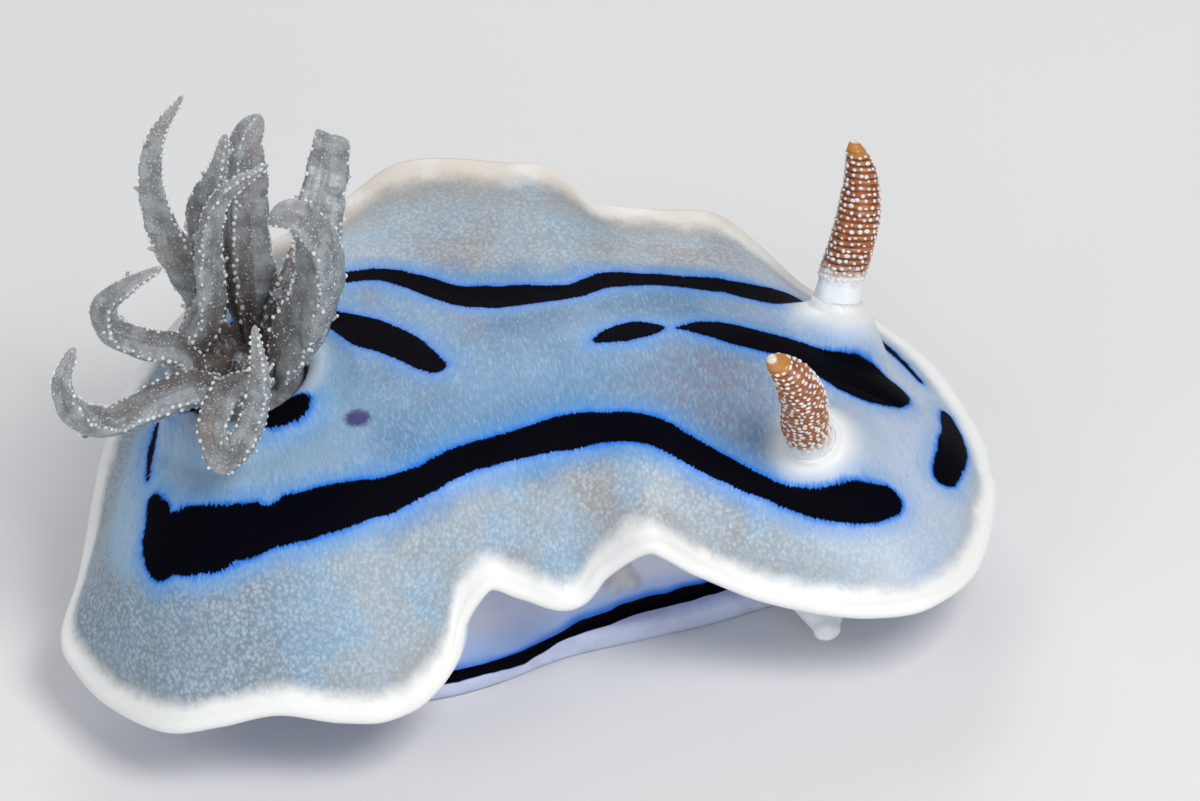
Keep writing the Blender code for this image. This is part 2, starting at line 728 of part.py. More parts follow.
def carried(points, first_axis, first_normal):
    """Tangents and normals along a path, carried without twist."""
    tangents = unit(np.gradient(points, axis=0))
    tangents[0] = unit(first_axis)
    normal = unit(first_normal - tangents[0] * np.dot(first_normal, tangents[0]))
    normals = [normal]
    for tangent in tangents[1:]:
        normal = unit(normal - tangent * np.dot(normal, tangent))
        normals.append(normal)
    return tangents, np.array(normals)


def path_points(rows, count):
    """Points spread evenly by length along a smooth curve through rows."""
    rows = np.array(rows, float)
    knots = np.concatenate([[0], np.cumsum(np.linalg.norm(np.diff(rows, axis=0), axis=1))])
    fine = smooth(knots, rows, np.linspace(0, knots[-1], 400))
    run = np.concatenate([[0], np.cumsum(np.linalg.norm(np.diff(fine, axis=0), axis=1))])
    even = np.linspace(0, run[-1], count)
    return np.stack([np.interp(even, run, fine[:, k]) for k in range(3)], axis=1)


def make_gills(origin, axis):
    """The faceted base in the pocket and the ten blades on its facets."""
    side = unit(np.array([axis[2], 0.0, -axis[0]]))
    other = np.cross(axis, side)
    half_turn = math.pi / GILL_COUNT
    corners = np.arange(GILL_COUNT) * 2 * half_turn - half_turn
    profile = (
        (GAP - POCKET_DEPTH, GILL_BASE_RADIUS), (GILL_BASE_SHOULDER, GILL_BASE_RADIUS),
        (GILL_BASE_TOP, GILL_BASE_INNER), (GILL_BASE_TOP - 0.3, GILL_BASE_INNER * 0.55),
        (GILL_BASE_TOP + 0.7, 0.3),
    )
    spokes = np.cos(corners)[:, None] * side + np.sin(corners)[:, None] * other
    sections = [origin + axis * along + radius * spokes for along, radius in profile]
    tube_solid("gill_base", sections, "gill", origin + axis * (GILL_BASE_TOP + 0.85))
    flat = math.cos(half_turn)
    blades = []
    for k, (width, end, rows) in enumerate(GILLS):
        angle = k * 2 * half_turn
        outward = math.cos(angle) * side + math.sin(angle) * other
        low = origin + axis * GILL_BASE_SHOULDER + outward * GILL_BASE_RADIUS * flat
        high = origin + axis * GILL_BASE_TOP + outward * GILL_BASE_INNER * flat
        slope = unit(high - low)
        facing = unit(np.cross(np.cross(slope, outward), slope))
        root = (low + high) / 2 + facing * GAP
        points = path_points([root, root + facing * GILL_NECK, *rows], 2 * LEAFLET_COUNT + 3)
        blades.append((width, end, points, facing, outward))
    for k, (width, end, points, facing, outward) in enumerate(blades):
        others = np.concatenate([blade[2] for blade in blades[:k] + blades[k + 1:]])
        apart = np.linalg.norm(points[:, None] - others, axis=2).min(axis=1)
        t = np.linspace(0, 1, len(points))
        sizes = width / 2 * np.minimum(1.0, 0.6 + 2.4 * t) * (1 - (1 - end) * t**3)
        sizes = np.minimum(sizes, (apart - GAP) / 2 / BLADE_REACH)
        sizes[0] = GILL_ROOT
        make_blade(f"gill_{k + 1:02d}", points, sizes, facing, outward)


def make_blade(name, points, sizes, facing, outward):
    """A three-sided blade along a path, its edges notched into leaflets."""
    tangents, normals = carried(points, facing, outward)
    sections = []
    for i, size in enumerate(sizes):
        notch = 1 - LEAFLET_DEPTH * (i % 2)
        normal, across = normals[i], np.cross(tangents[i], normals[i])
        half = ((0.6, 0.62, notch), (1.0, 0.35, notch), (0.55, -0.4, 1.0))
        section = [points[i] + size * (a * n * across + b * normal) for a, b, n in half]
        section.append(points[i] - size * BLADE_REACH * notch * normal)
        section += [points[i] + size * (-a * n * across + b * normal) for a, b, n in reversed(half)]
        sections.append(section)
    tube_solid(name, sections, "gill", points[-1] + tangents[-1] * 0.15)


def club_radius(t):
    """The radius of a rhinophore's club at a share of its height."""
    return CLUB_RADIUS * (1 - t**2.4) ** 0.5


def make_rhinophores(places):
    """A stalk in its pocket with a club of stacked lamellae, bent a little forward."""
    forward, _ = head_directions()
    bend = np.array(RHINOPHORE_BEND)
    start = GAP - SHEATH_DEPTH
    neck = start + RHINOPHORE_LENGTH * STALK_SHARE
    club = RHINOPHORE_LENGTH * (1 - STALK_SHARE)
    profile = [(start, STALK_RADIUS), (start + 1.0, STALK_RADIUS), (neck - 0.35, STALK_RADIUS)]
    rings = 2 * LAMELLA_COUNT
    for i in range(rings):
        t = i / rings
        profile.append((neck + club * t, club_radius(t) - LAMELLA_DEPTH * (i % 2 == 0)))
    profile.append((neck + club * 0.985, 0.22))
    profile = np.array(profile)
    shift = smooth(bend[:, 0], bend[:, 1:], profile[:, 0])[:, 0]
    for name, (origin, axis) in places.items():
        sections = turned_sections(origin, axis, profile, 14)
        sections = [section + forward * aside for section, aside in zip(sections, shift)]
        tip = origin + unit(axis) * (neck + club) + forward * shift[-1]
        tube_solid("rhinophore_" + name, sections, "rhinophore", tip)


def make_tentacles(head):
    """Oral tentacles: a boss on each side of the mouth, and the blunt cone on it."""
    forward, left = head_directions()
    bosses = []
    cones = []
    for name, sign in (("left", 1), ("right", -1)):
        ahead, aside, down = TENTACLE_AIM
        axis = unit(ahead * forward + sign * aside * left - down * np.array([0, 0, 1.0]))
        origin = np.array(TENTACLE_MIDDLE) + sign * left * TENTACLE_SPREAD
        profile = ((-1.6, TENTACLE_ROOT * 1.1), (TENTACLE_BOSS, TENTACLE_ROOT))
        bosses.append(tube_solid("boss", turned_sections(origin, axis, profile, 14), "body", None))
        cones.append((name, origin + axis * (TENTACLE_BOSS + GAP), axis))
    combine(head, bosses, "UNION")
    for name, origin, axis in cones:
        profile = ((0.0, TENTACLE_ROOT * 0.98), (0.8, TENTACLE_ROOT * 0.95), (1.7, TENTACLE_ROOT * 0.85),
                   (TENTACLE_LENGTH * 0.78, TENTACLE_TIP), (TENTACLE_LENGTH * 0.94, TENTACLE_TIP * 0.6))
        sections = turned_sections(origin, axis, profile, 14)
        tube_solid("oral_tentacle_" + name, sections, "tentacle", origin + axis * TENTACLE_LENGTH)


def main():
    for thing in list(bpy.data.objects):
        bpy.data.objects.remove(thing)
    places, gill_origin, gill_axis = make_mantle()
    head = make_body()
    make_foot()
    make_tentacles(head)
    make_rhinophores(places)
    make_gills(gill_origin, gill_axis)


main()
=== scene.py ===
import math
import random

import bmesh
import bpy
import numpy as np
from mathutils import Matrix, Vector
from mathutils.kdtree import KDTree


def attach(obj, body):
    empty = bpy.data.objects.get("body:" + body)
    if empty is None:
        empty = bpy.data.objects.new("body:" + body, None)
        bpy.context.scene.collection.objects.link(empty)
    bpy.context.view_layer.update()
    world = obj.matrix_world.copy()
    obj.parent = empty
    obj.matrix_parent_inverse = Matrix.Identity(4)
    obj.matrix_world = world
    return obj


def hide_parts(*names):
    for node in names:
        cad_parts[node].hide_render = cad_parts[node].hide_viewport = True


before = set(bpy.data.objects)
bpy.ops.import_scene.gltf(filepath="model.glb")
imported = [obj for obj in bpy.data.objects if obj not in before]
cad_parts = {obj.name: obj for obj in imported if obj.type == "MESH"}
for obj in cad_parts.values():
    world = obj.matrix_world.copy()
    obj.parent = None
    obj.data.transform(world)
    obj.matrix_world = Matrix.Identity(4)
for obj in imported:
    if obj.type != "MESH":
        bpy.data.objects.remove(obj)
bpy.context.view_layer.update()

# The looks of the nudibranch Chromodoris willani. Lengths are in millimetres and MM turns them into
# metres. +X points to the head, +Y to the animal's left, +Z up, and the sole lies on the floor.
MM = 0.001
PER_MM = 1000.0
GAP = 0.3
TURN = 2 * math.pi

# The value of a distance attribute where the thing that it tells the distance to isn't near.
FAR = 9.0

# The camera of the photograph: how far it is turned round the animal, how far it looks down, how far
# the picture leans, its distance, and where the frame's origin falls in a picture of 1200 x 801.
CAMERA_AZIMUTH = -6.0
CAMERA_ELEVATION = 38.0
CAMERA_ROLL = 6.0
CAMERA_DISTANCE = 300.0
PIXELS_PER_MM = 20.0
PICTURE = (1200, 801)
ORIGIN_PIXEL = (545, 592)
SENSOR_MM = 36.0

# The ridge of the back, tail to head: x, y and height.
RIDGE = (
    (-17.0, -0.2, 12.6),
    (-13.0, 1.3, 14.6),
    (-4.0, 1.0, 14.6),
    (4.0, 0.8, 14.4),
    (10.0, 0.2, 13.5),
    (15.0, -1.0, 11.2),
    (18.3, -1.8, 9.2),
)
# The shoulder ring from the snout round the left side to the tail and back: x, y and height.
SHOULDER = (
    (20.6, -2.6, 7.2),
    (19.3, 2.2, 7.7),
    (16.8, 5.8, 9.0),
    (13.5, 6.4, 11.0),
    (10.0, 6.6, 12.4),
    (5.7, 6.7, 13.4),
    (-0.7, 6.7, 13.8),
    (-4.0, 7.8, 14.3),
    (-7.4, 8.4, 15.0),
    (-12.5, 7.8, 14.2),
    (-17.0, 4.6, 12.2),
    (-20.2, -1.8, 9.8),
    (-17.2, -5.9, 11.7),
    (-14.2, -6.6, 12.6),
    (-9.4, -7.0, 13.5),
    (-5.4, -6.4, 13.5),
    (-0.8, -5.0, 13.5),
    (3.1, -4.6, 13.3),
    (6.1, -5.6, 12.9),
    (9.0, -7.2, 11.4),
    (12.4, -8.2, 9.6),
    (15.8, -8.0, 8.7),
    (18.8, -6.4, 7.8),
)
# The margin ring, each row with the x of the shoulder that it hangs from: that x, then x, y, height.
MARGIN = (
    (20.6, 22.25, -2.6, 5.3),
    (19.9, 22.1, 1.1, 5.6),
    (18.6, 20.85, 5.5, 6.3),
    (16.8, 18.3, 9.1, 7.1),
    (14.6, 15.8, 11.0, 8.0),
    (12.6, 13.7, 12.6, 10.1),
    (10.6, 12.0, 13.3, 11.5),
    (8.0, 8.6, 14.2, 11.9),
    (5.8, 5.9, 14.9, 12.6),
    (4.2, 4.4, 15.4, 14.3),
    (1.6, 1.7, 15.7, 15.1),
    (-3.2, -3.6, 16.9, 15.2),
    (-6.4, -6.7, 15.7, 14.3),
    (-12.0, -12.8, 13.4, 13.0),
    (-16.2, -18.0, 8.8, 11.4),
    (-18.4, -20.3, 5.4, 9.6),
    (-19.8, -22.5, 0.9, 5.9),
    (-20.2, -23.9, -2.2, 4.6),
    (-19.8, -23.4, -4.6, 4.1),
    (-18.6, -22.1, -7.4, 4.2),
    (-16.8, -19.8, -10.4, 4.8),
    (-14.6, -17.2, -11.5, 5.5),
    (-12.6, -14.4, -12.0, 6.0),
    (-10.4, -11.4, -12.8, 5.5),
    (-8.6, -9.2, -13.0, 5.3),
    (-7.0, -7.3, -12.1, 5.2),
    (-5.6, -5.8, -10.9, 6.1),
    (-4.6, -5.1, -9.8, 7.6),
    (-3.2, -3.6, -9.3, 9.1),
    (-1.4, -1.7, -9.4, 8.3),
    (0.4, 0.5, -8.9, 6.7),
    (2.0, 1.9, -8.8, 8.2),
    (4.0, 4.2, -9.7, 10.1),
    (6.6, 6.8, -10.2, 8.5),
    (9.6, 9.5, -10.8, 6.8),
    (12.4, 11.9, -11.6, 6.2),
    (15.0, 14.6, -12.1, 5.75),
    (17.2, 17.4, -11.9, 5.6),
    (18.8, 20.05, -9.4, 5.0),
    (20.0, 21.85, -5.2, 5.1),
)
RIM = 0.45
RIM_ANGLES = (22, 45, 67, 90, 113, 135, 158)
SHOULDER_SHARE = 0.45
THICK_MIDDLE = 3.0
THICK_RIM = 0.8
THICK_SPAN = (0.1, 0.6)
# How steeply the upper face leaves the ridge and comes to the rim, along each axis.
RIDGE_SLOPE = (1.15, 1.15, 0.0)
RIM_SLOPE = (1.0, 1.0, 0.5)
# Where the under face meets the wall of the body, as a share of the way from ridge to rim, and how
# much nearer the ridge that is at the head and at the tail.
JOINT_SHARE = 0.40
JOINT_HEAD = 0.14
JOINT_TAIL = 0.30

# The foot: the middle line and half width of the sole along x, and how far it spreads past the side.
FOOT_FRONT = 18.0
FOOT_BACK = -20.6
FOOT_HEIGHT = 1.3
FOOT_EDGE = 0.5
FOOT_ROUND = 0.6
MIDDLE = (
    (-20.6, -1.4),
    (-13.0, 0.9),
    (-4.0, 1.0),
    (4.0, 0.8),
    (10.0, 0.2),
    (15.0, -1.0),
    (18.5, -2.0),
)
HALF_WIDTH = (
    (-20.6, 1.6),
    (-15.0, 5.6),
    (-7.0, 8.2),
    (-3.5, 7.6),
    (0.0, 6.5),
    (4.0, 6.1),
    (8.0, 5.7),
    (11.0, 5.0),
    (15.0, 4.4),
    (18.5, 3.9),
)
FLANGE = (
    (-20.6, 0.7),
    (-6.0, 0.5),
    (1.0, 0.7),
    (8.0, 1.5),
    (18.5, 1.1),
)
TRUNK_FRONT = 17.6
TRUNK_BACK = -16.8
WAIST = 0.7
WAIST_REACH = 3.0
TAIL_KEEL = 1.0
TAIL_START = 0.8
# The foot's rings: share of the way out over its top with how far they lie under the top, then
# share of the way out under the edge with their height.
FOOT_TOP = ((0.1, 0.0), (0.22, 0.0), (0.35, 0.01), (0.5, 0.03), (0.62, 0.06), (0.74, 0.12),
            (0.84, 0.22), (0.91, 0.34), (0.96, 0.48))
FOOT_UNDER = ((0.995, 0.3), (0.985, 0.14), (0.97, 0.04), (0.95, 0.0), (0.6, 0.0), (0.0, 0.0))

HEAD_YAW = -17.0

# Rhinophores: where each stands on the back, and how far it leans out and forward, in degrees.
RHINOPHORES = {
    "left": (16.15, 4.0, 1, 24.0, 8.0),
    "right": (13.4, -5.65, -1, 26.0, -7.0),
}
# The share of the club's height where its brown starts.
BROWN_FROM = {"left": 0.02, "right": -0.15}
RHINOPHORE_LENGTH = 10.6
STALK_SHARE = 0.33
STALK_RADIUS = 1.12
CLUB_RADIUS = 1.15
# How far each bends forward out of its axis: distance along the axis, then the shift.
RHINOPHORE_BEND = (
    (-0.6, 0.0),
    (3.0, 0.05),
    (5.0, 0.42),
    (6.7, 0.54),
    (8.5, 0.38),
    (10.0, -0.14),
)
SHEATH_BORE = 1.1
SHEATH_RADIUS = 1.4
SHEATH_SKIRT = 2.2
SHEATH_RISE = {"left": 1.9, "right": 1.25}
SHEATH_DEPTH = 0.9

# The form of a sheath or pocket: how far its crown falls off and how round that is, how wide the
# slope of its bore is, where its skirt starts and how hollow it is, and how deep the skin follows it.
CROWN_FALL = 0.25
CROWN_ROUND = 2.2
BORE_SLOPE = 0.22
SKIRT_START = 0.1
SKIRT_HOLLOW = 1.35
COLLAR_LOWEST = -4.0

# Gills: a ring of ten blades on a faceted base in a pocket.
GILL_X = -13.0
GILL_Y = 1.8
GILL_TILT = 10.0
POCKET_BORE = 3.1
POCKET_RADIUS = 4.0
POCKET_RISE = 0.5
POCKET_SKIRT = 1.6
POCKET_DEPTH = 1.5
GILL_BASE_RADIUS = 2.7
GILL_BASE_INNER = 1.25
GILL_BASE_SHOULDER = 0.1
GILL_BASE_TOP = 1.2
GILL_NECK = 1.2
GILL_COUNT = 10

# Each blade, in order round the ring from the head over the left: its width, the share of the width
# that is left at the tip, then the points that it passes after it has left the base.
GILLS = (
    (1.5, 0.2, ((-10.3, 1.7, 18.6), (-11.2, 1.5, 20.2))),
    (2.7, 0.75, ((-9.0, 5.6, 19.2), (-8.3, 7.2, 20.8), (-7.5, 8.8, 21.9), (-7.2, 9.9, 22.2),
                 (-7.3, 10.8, 21.4))),
    (2.7, 0.4, ((-12.2, 6.4, 19.4), (-11.6, 8.0, 22.6), (-11.1, 8.5, 24.5), (-10.3, 8.9, 25.3))),
    (1.8, 0.15, ((-13.9, 5.8, 19.1), (-13.8, 6.7, 21.7), (-12.8, 6.2, 24.4), (-12.2, 6.2, 26.4))),
    (2.0, 0.12, ((-14.3, 4.4, 17.5), (-15.0, 5.2, 19.6), (-15.7, 5.8, 21.7), (-16.0, 6.2, 24.1),
                 (-15.4, 6.8, 26.5), (-13.9, 7.0, 28.5))),
    (1.9, 0.12, ((-14.4, 1.9, 19.6), (-14.1, 2.0, 22.8), (-13.0, 2.4, 25.5), (-10.5, 3.0, 26.5))),
    (2.0, 0.15, ((-16.3, 0.5, 18.1), (-18.2, 0.0, 19.5), (-19.2, 0.1, 20.3), (-19.3, 0.2, 21.7),
                 (-18.0, 0.6, 22.5), (-16.3, 1.0, 23.0))),
    (2.2, 0.2, ((-15.9, -1.8, 17.4), (-18.4, -2.5, 17.3), (-20.2, -3.0, 17.3), (-21.5, -3.4, 18.7),
                (-21.8, -3.1, 20.2), (-21.0, -2.6, 21.9))),
    (1.8, 0.15, ((-14.5, -3.1, 17.5), (-15.2, -4.6, 16.6), (-14.9, -5.4, 15.8), (-13.9, -5.3, 16.6),
                 (-12.8, -4.5, 18.6), (-12.5, -3.5, 22.1))),
    (3.1, 0.35, ((-9.8, -0.7, 19.6), (-8.9, -1.0, 22.7), (-9.1, -1.2, 24.9), (-10.0, -1.0, 26.1),
                 (-11.1, -0.6, 25.8))),
)

# The mouth: a ring of lips on the front of the head round an upright slit. The lumps of the genital
# opening are on the right side: x, height and radius of each.
MOUTH_BEARING = -8.0
MOUTH_SHARE = 0.62
LIP_RADIUS = 1.15
LIP_RISE = 0.55
MOUTH_LENGTH = 1.3
MOUTH_WIDTH = 0.3
DOME_DEPTH = 0.6
GENITAL_LUMPS = (
    (3.0, 3.05, 0.5),
    (3.9, 2.9, 0.5),
    (3.5, 3.75, 0.6),
)

# Oral tentacles: short blunt cones beside the mouth.
TENTACLE_LENGTH = 3.6
TENTACLE_ROOT = 1.5
TENTACLE_TIP = 0.8
TENTACLE_MIDDLE = (13.8, -1.0, 3.2)
TENTACLE_SPREAD = 3.0
TENTACLE_BOSS = 1.4
TENTACLE_AIM = (0.25, 0.90, 0.36)
TENTACLE_AROUND = 72
TENTACLE_RINGS = 100

# Black stripes and spots on the back, each a stroke of x, y and half width.
STRIPES = (
    ((-18.55, -2.35, 0.5), (-18.5, -3.2, 0.8), (-18.6, -4.2, 1.05), (-18.7, -5.0, 1.1),
     (-18.6, -5.6, 1.1)),
    ((-18.2, -4.9, 1.3), (-17.6, -5.45, 1.7), (-16.5, -6.1, 1.7), (-14.8, -6.55, 1.43),
     (-13.2, -6.8, 1.25), (-11.3, -7.1, 1.24), (-9.5, -7.07, 1.12), (-7.7, -6.95, 0.92),
     (-5.8, -6.42, 0.73), (-4.0, -5.68, 0.75), (-2.1, -5.2, 0.75), (-0.2, -4.83, 0.78),
     (1.7, -4.52, 0.88), (3.6, -4.55, 0.85), (5.4, -5.07, 0.78), (6.9, -6.0, 0.75), (8.3, -6.87, 0.69),
     (9.9, -7.6, 0.6), (11.5, -8.1, 0.59), (13.3, -8.35, 0.74), (15.2, -8.2, 1.0), (16.2, -7.9, 0.85)),
    ((-18.6, -0.4, 0.2), (-18.1, 2.1, 0.3), (-16.0, 5.4, 0.3), (-12.5, 7.9, 0.35), (-9.5, 8.6, 0.4),
     (-7.4, 8.6, 0.45), (-5.5, 8.8, 0.55), (-3.7, 8.05, 0.68), (-2.1, 6.95, 0.83), (-0.2, 6.58, 0.91),
     (1.7, 6.42, 0.77), (3.6, 6.2, 0.6), (5.5, 6.85, 0.75), (7.5, 6.87, 0.65), (9.4, 6.73, 0.63),
     (11.2, 6.7, 0.73), (13.0, 6.5, 0.93), (14.6, 6.95, 0.85)),
    ((4.1, 0.95, 0.25), (4.9, 1.25, 0.58), (5.7, 1.45, 0.73), (6.6, 1.5, 0.57), (7.3, 1.5, 0.15)),
    ((8.1, 1.4, 0.1), (9.2, 1.4, 0.6), (10.7, 1.15, 0.92), (12.1, 0.85, 0.9), (13.5, 0.75, 0.87),
     (14.8, 0.1, 1.25), (16.0, -0.45, 1.62), (16.9, -0.55, 1.75), (17.7, -0.4, 1.65)),
    ((-8.5, 5.7, 0.45), (-7.7, 4.8, 0.85), (-6.8, 4.0, 1.15), (-5.9, 3.3, 1.1), (-5.1, 2.5, 0.95),
     (-4.5, 1.5, 0.8), (-4.0, 0.8, 0.6)),
    ((20.95, 0.25, 0.35), (20.87, -0.7, 0.62), (20.78, -2.3, 0.87), (20.2, -4.1, 0.93), (19.6, -5.5, 0.7)),
    ((17.6, 6.9, 0.15), (18.6, 5.9, 0.3), (19.5, 4.4, 0.3), (20.2, 2.8, 0.15)),
    ((-13.1, -1.8, 0.25), (-12.1, -1.7, 0.7), (-11.1, -1.5, 0.7), (-10.4, -1.2, 0.25)),
    ((-16.4, 1.4, 0.5), (-15.7, 1.1, 0.6)),
)
# How close the points along a stroke lie, its least half width, how far apart the strokes' fibres
# start, and how many points are measured at once.
STROKE_STEP = 0.12
STROKE_LEAST = 0.05
STROKE_APART = 60.0
CHUNK = 40000
# Notches in the edges of the strokes, and the small purple spot: x, y and radius.
NOTCHES = (
    (-13.0, -5.3, 0.8),
)
PURPLE_SPOT = (-8.2, -2.45, 0.62)

# How much wider the white rim is on the left side, and the y where that starts and ends.
LEFT_RIM = (0.4, 8.0, 12.0)
# Where the white rim is widest on the right side: x, how far that reaches, and its share.
WIDE_RIM = (
    (-5.2, 2.4, 0.42),
    (4.2, 1.8, 0.3),
)
# A greyer patch on the back: x, y, and its reach along and across.
LILAC_PATCH = (9.5, -2.5, 4.5, 3.5)

# How far the black line of the foot lies lower in the rear half, and how much wider it is there.
LINE_SHIFT = 1.1
LINE_GROWTH = 0.55
LINE_CHANGE = (4.5, -3.5)

LAMELLAE = 23
LAMELLA_DEPTH = 0.12

STATIONS = 900
UPPER_RINGS = 170
UNDER_RINGS = 34
WALL_RINGS = 56


def unit(v):
    """Vectors of length one, along the last axis."""
    v = np.asarray(v, float)
    return v / np.maximum(np.linalg.norm(v, axis=-1, keepdims=True), 1e-12)


def ease(low, high, value):
    """A smooth step from 0 at low to 1 at high."""
    t = np.clip((np.asarray(value, float) - low) / (high - low), 0, 1)
    return t * t * (3 - 2 * t)


def hermite(t, start, end, slope_start, slope_end):
    """A cubic from start to end with the given slopes over the whole of t."""
    return (
        (2 * t**3 - 3 * t**2 + 1) * start
        + (t**3 - 2 * t**2 + t) * slope_start
        + (-2 * t**3 + 3 * t**2) * end
        + (t**3 - t**2) * slope_end
    )


def smooth(knots, rows, at):
    """A smooth curve through rows at rising knots, read at the given values."""
    knots = np.asarray(knots, float)
    rows = np.asarray(rows, float)
    step = np.diff(knots)
    rate = np.diff(rows, axis=0) / step[:, None]
    slope = np.empty_like(rows)
    slope[0] = rate[0]
    slope[-1] = rate[-1]
    weight = step[:-1] + step[1:]
    slope[1:-1] = (rate[:-1] * step[1:, None] + rate[1:] * step[:-1, None]) / weight[:, None]
    i = np.clip(np.searchsorted(knots, at, side="right") - 1, 0, len(step) - 1)
    width = step[i][:, None]
    t = (np.asarray(at, float)[:, None] - knots[i][:, None]) / width
    return hermite(t, rows[i], rows[i + 1], slope[i] * width, slope[i + 1] * width)


def round_ring(bearings, rows, at):
    """A closed smooth curve through rows at bearings, read at the bearings of at."""
    knots = np.concatenate([bearings - TURN, bearings, bearings + TURN])
    return smooth(knots, np.concatenate([rows] * 3), at)


def ring_bearings(x):
    """Bearings for rows listed from the snout over the left side, from the x of their shoulder."""
    front, back = SHOULDER[0][0], min(row[0] for row in SHOULDER)
    cosine = (x - (front + back) / 2) / ((front - back) / 2)
    bearing = np.arccos(np.clip(cosine, -1, 1))
    last_left = int(np.argmin(x))
    bearing[last_left + 1:] = TURN - bearing[last_left + 1:]
    return bearing


def along_x(front, back, bearings):
    """The x of each bearing between a front and a back end."""
    return (front + back) / 2 + (front - back) / 2 * np.cos(bearings)


def spread(shares, count):
    """Shares with one row per ring and one column per bearing."""
    shares = np.asarray(shares, float)
    return np.repeat(shares[:, None], count, axis=1) if shares.ndim == 1 else shares


def run_along(rows):
    """How far each row of points is from the first, along the path."""
    steps = np.linalg.norm(np.diff(rows, axis=0), axis=-1)
    return np.concatenate([np.zeros((1,) + steps.shape[1:]), np.cumsum(steps, axis=0)])


def back_profiles(bearings, shares):
    """Points of the mantle's upper face: one row per row of shares, one column per bearing."""
    ridge_rows, shoulder_rows, margin_rows = (np.array(rows) for rows in (RIDGE, SHOULDER, MARGIN))
    at = along_x(ridge_rows[-1, 0], ridge_rows[0, 0], bearings)
    ridge = smooth(ridge_rows[:, 0], ridge_rows, at)
    shoulder = round_ring(ring_bearings(shoulder_rows[:, 0]), shoulder_rows, bearings)
    margin = round_ring(ring_bearings(margin_rows[:, 0]), margin_rows[:, 1:], bearings)
    inner, outer = SHOULDER_SHARE, 1 - SHOULDER_SHARE
    leave_ridge = (shoulder - ridge) * RIDGE_SLOPE / inner
    cross = (shoulder - ridge) / inner * outer + (margin - shoulder) / outer * inner
    reach_rim = (margin - shoulder) * RIM_SLOPE / outer
    share = spread(shares, len(bearings))[:, :, None]
    near = hermite(share / inner, ridge, shoulder, leave_ridge * inner, cross * inner)
    far = hermite((share - inner) / outer, shoulder, margin, cross * outer, reach_rim * outer)
    return np.where(share <= inner, near, far)


def face_normals(bearings, shares):
    """Outward normals of the upper face at the given bearings and shares."""
    step = 2e-3
    inner = np.clip(spread(shares, len(bearings)), step, 1)
    along = back_profiles(bearings + step, inner) - back_profiles(bearings - step, inner)
    out = back_profiles(bearings, np.minimum(inner + step, 1)) - back_profiles(bearings, inner - step)
    return unit(np.cross(out, along))


def thickness(shares):
    """How thick the mantle is at each share of the way from ridge to rim."""
    return THICK_MIDDLE + (THICK_RIM - THICK_MIDDLE) * ease(*THICK_SPAN, shares)


def inward(normals, shares):
    """Directions from the upper to the under face: down over the body, square to it on the skirt."""
    t = np.clip((shares - SHOULDER_SHARE) / (1 - SHOULDER_SHARE), 0, 1)[:, :, None]
    return unit((1 - t) * np.array([0.0, 0.0, -1.0]) - t * normals)


def foot_line(x, rows):
    """A value along the foot from rows that start with x."""
    rows = np.array(rows)
    return smooth(rows[:, 0], rows[:, 1:], x)[:, 0]


def foot_ring(bearings, front, back, flange):
    """The outline of the sole, or of the body on it, which is drawn in by a share of the flange."""
    x = along_x(front, back, bearings)
    middle = foot_line(x, MIDDLE)
    width = foot_line(x, HALF_WIDTH) - flange * foot_line(x, FLANGE)
    sine = np.sin(bearings)
    y = middle + width * np.sign(sine) * np.abs(sine) ** FOOT_ROUND
    return np.stack([x, y, np.zeros_like(x)], axis=1), middle


def middle_line(bearings, front, back, height):
    """The line along the middle of the foot on which a ring folds shut."""
    x = along_x(front, back, bearings)
    return np.stack([x, foot_line(x, MIDDLE), np.full(len(x), height)], axis=1)


def frame_about(axis):
    """Two directions square to an axis and to each other."""
    axis = unit(axis)
    side = unit(np.cross(axis, (0.0, 1.0, 0.0) if abs(axis[1]) < 0.9 else (1.0, 0.0, 0.0)))
    return side, np.cross(axis, side)


def head_directions():
    """Forward and left of the head."""
    yaw = math.radians(HEAD_YAW)
    return np.array([math.cos(yaw), math.sin(yaw), 0.0]), np.array([-math.sin(yaw), math.cos(yaw), 0.0])


def on_back(x, y, upper, normals):
    """The point and normal of the mantle's upper face nearest to x and y."""
    flat = upper.reshape(-1, 3)
    distance = np.hypot(flat[:, 0] - x, flat[:, 1] - y)
    near = np.argsort(distance, kind="stable")[:6]
    weight = 1 / (distance[near] + 0.05)
    weight = weight / weight.sum()
    normal = unit((normals.reshape(-1, 3)[near] * weight[:, None]).sum(axis=0))
    middle = (flat[near] * weight[:, None]).sum(axis=0)
    height = middle[2] - ((x - middle[0]) * normal[0] + (y - middle[1]) * normal[1]) / normal[2]
    return np.array([x, y, height]), normal


def rhinophore_places(upper, normals):
    """For each rhinophore, the point of the back that it stands on and its axis."""
    forward, left = head_directions()
    places = {}
    for side, (x, y, sign, out, ahead) in RHINOPHORES.items():
        axis = unit(
            np.array([0.0, 0.0, 1.0])
            + sign * math.tan(math.radians(out)) * left
            + math.tan(math.radians(ahead)) * forward
        )
        places[side] = (on_back(x, y, upper, normals)[0], axis)
    return places


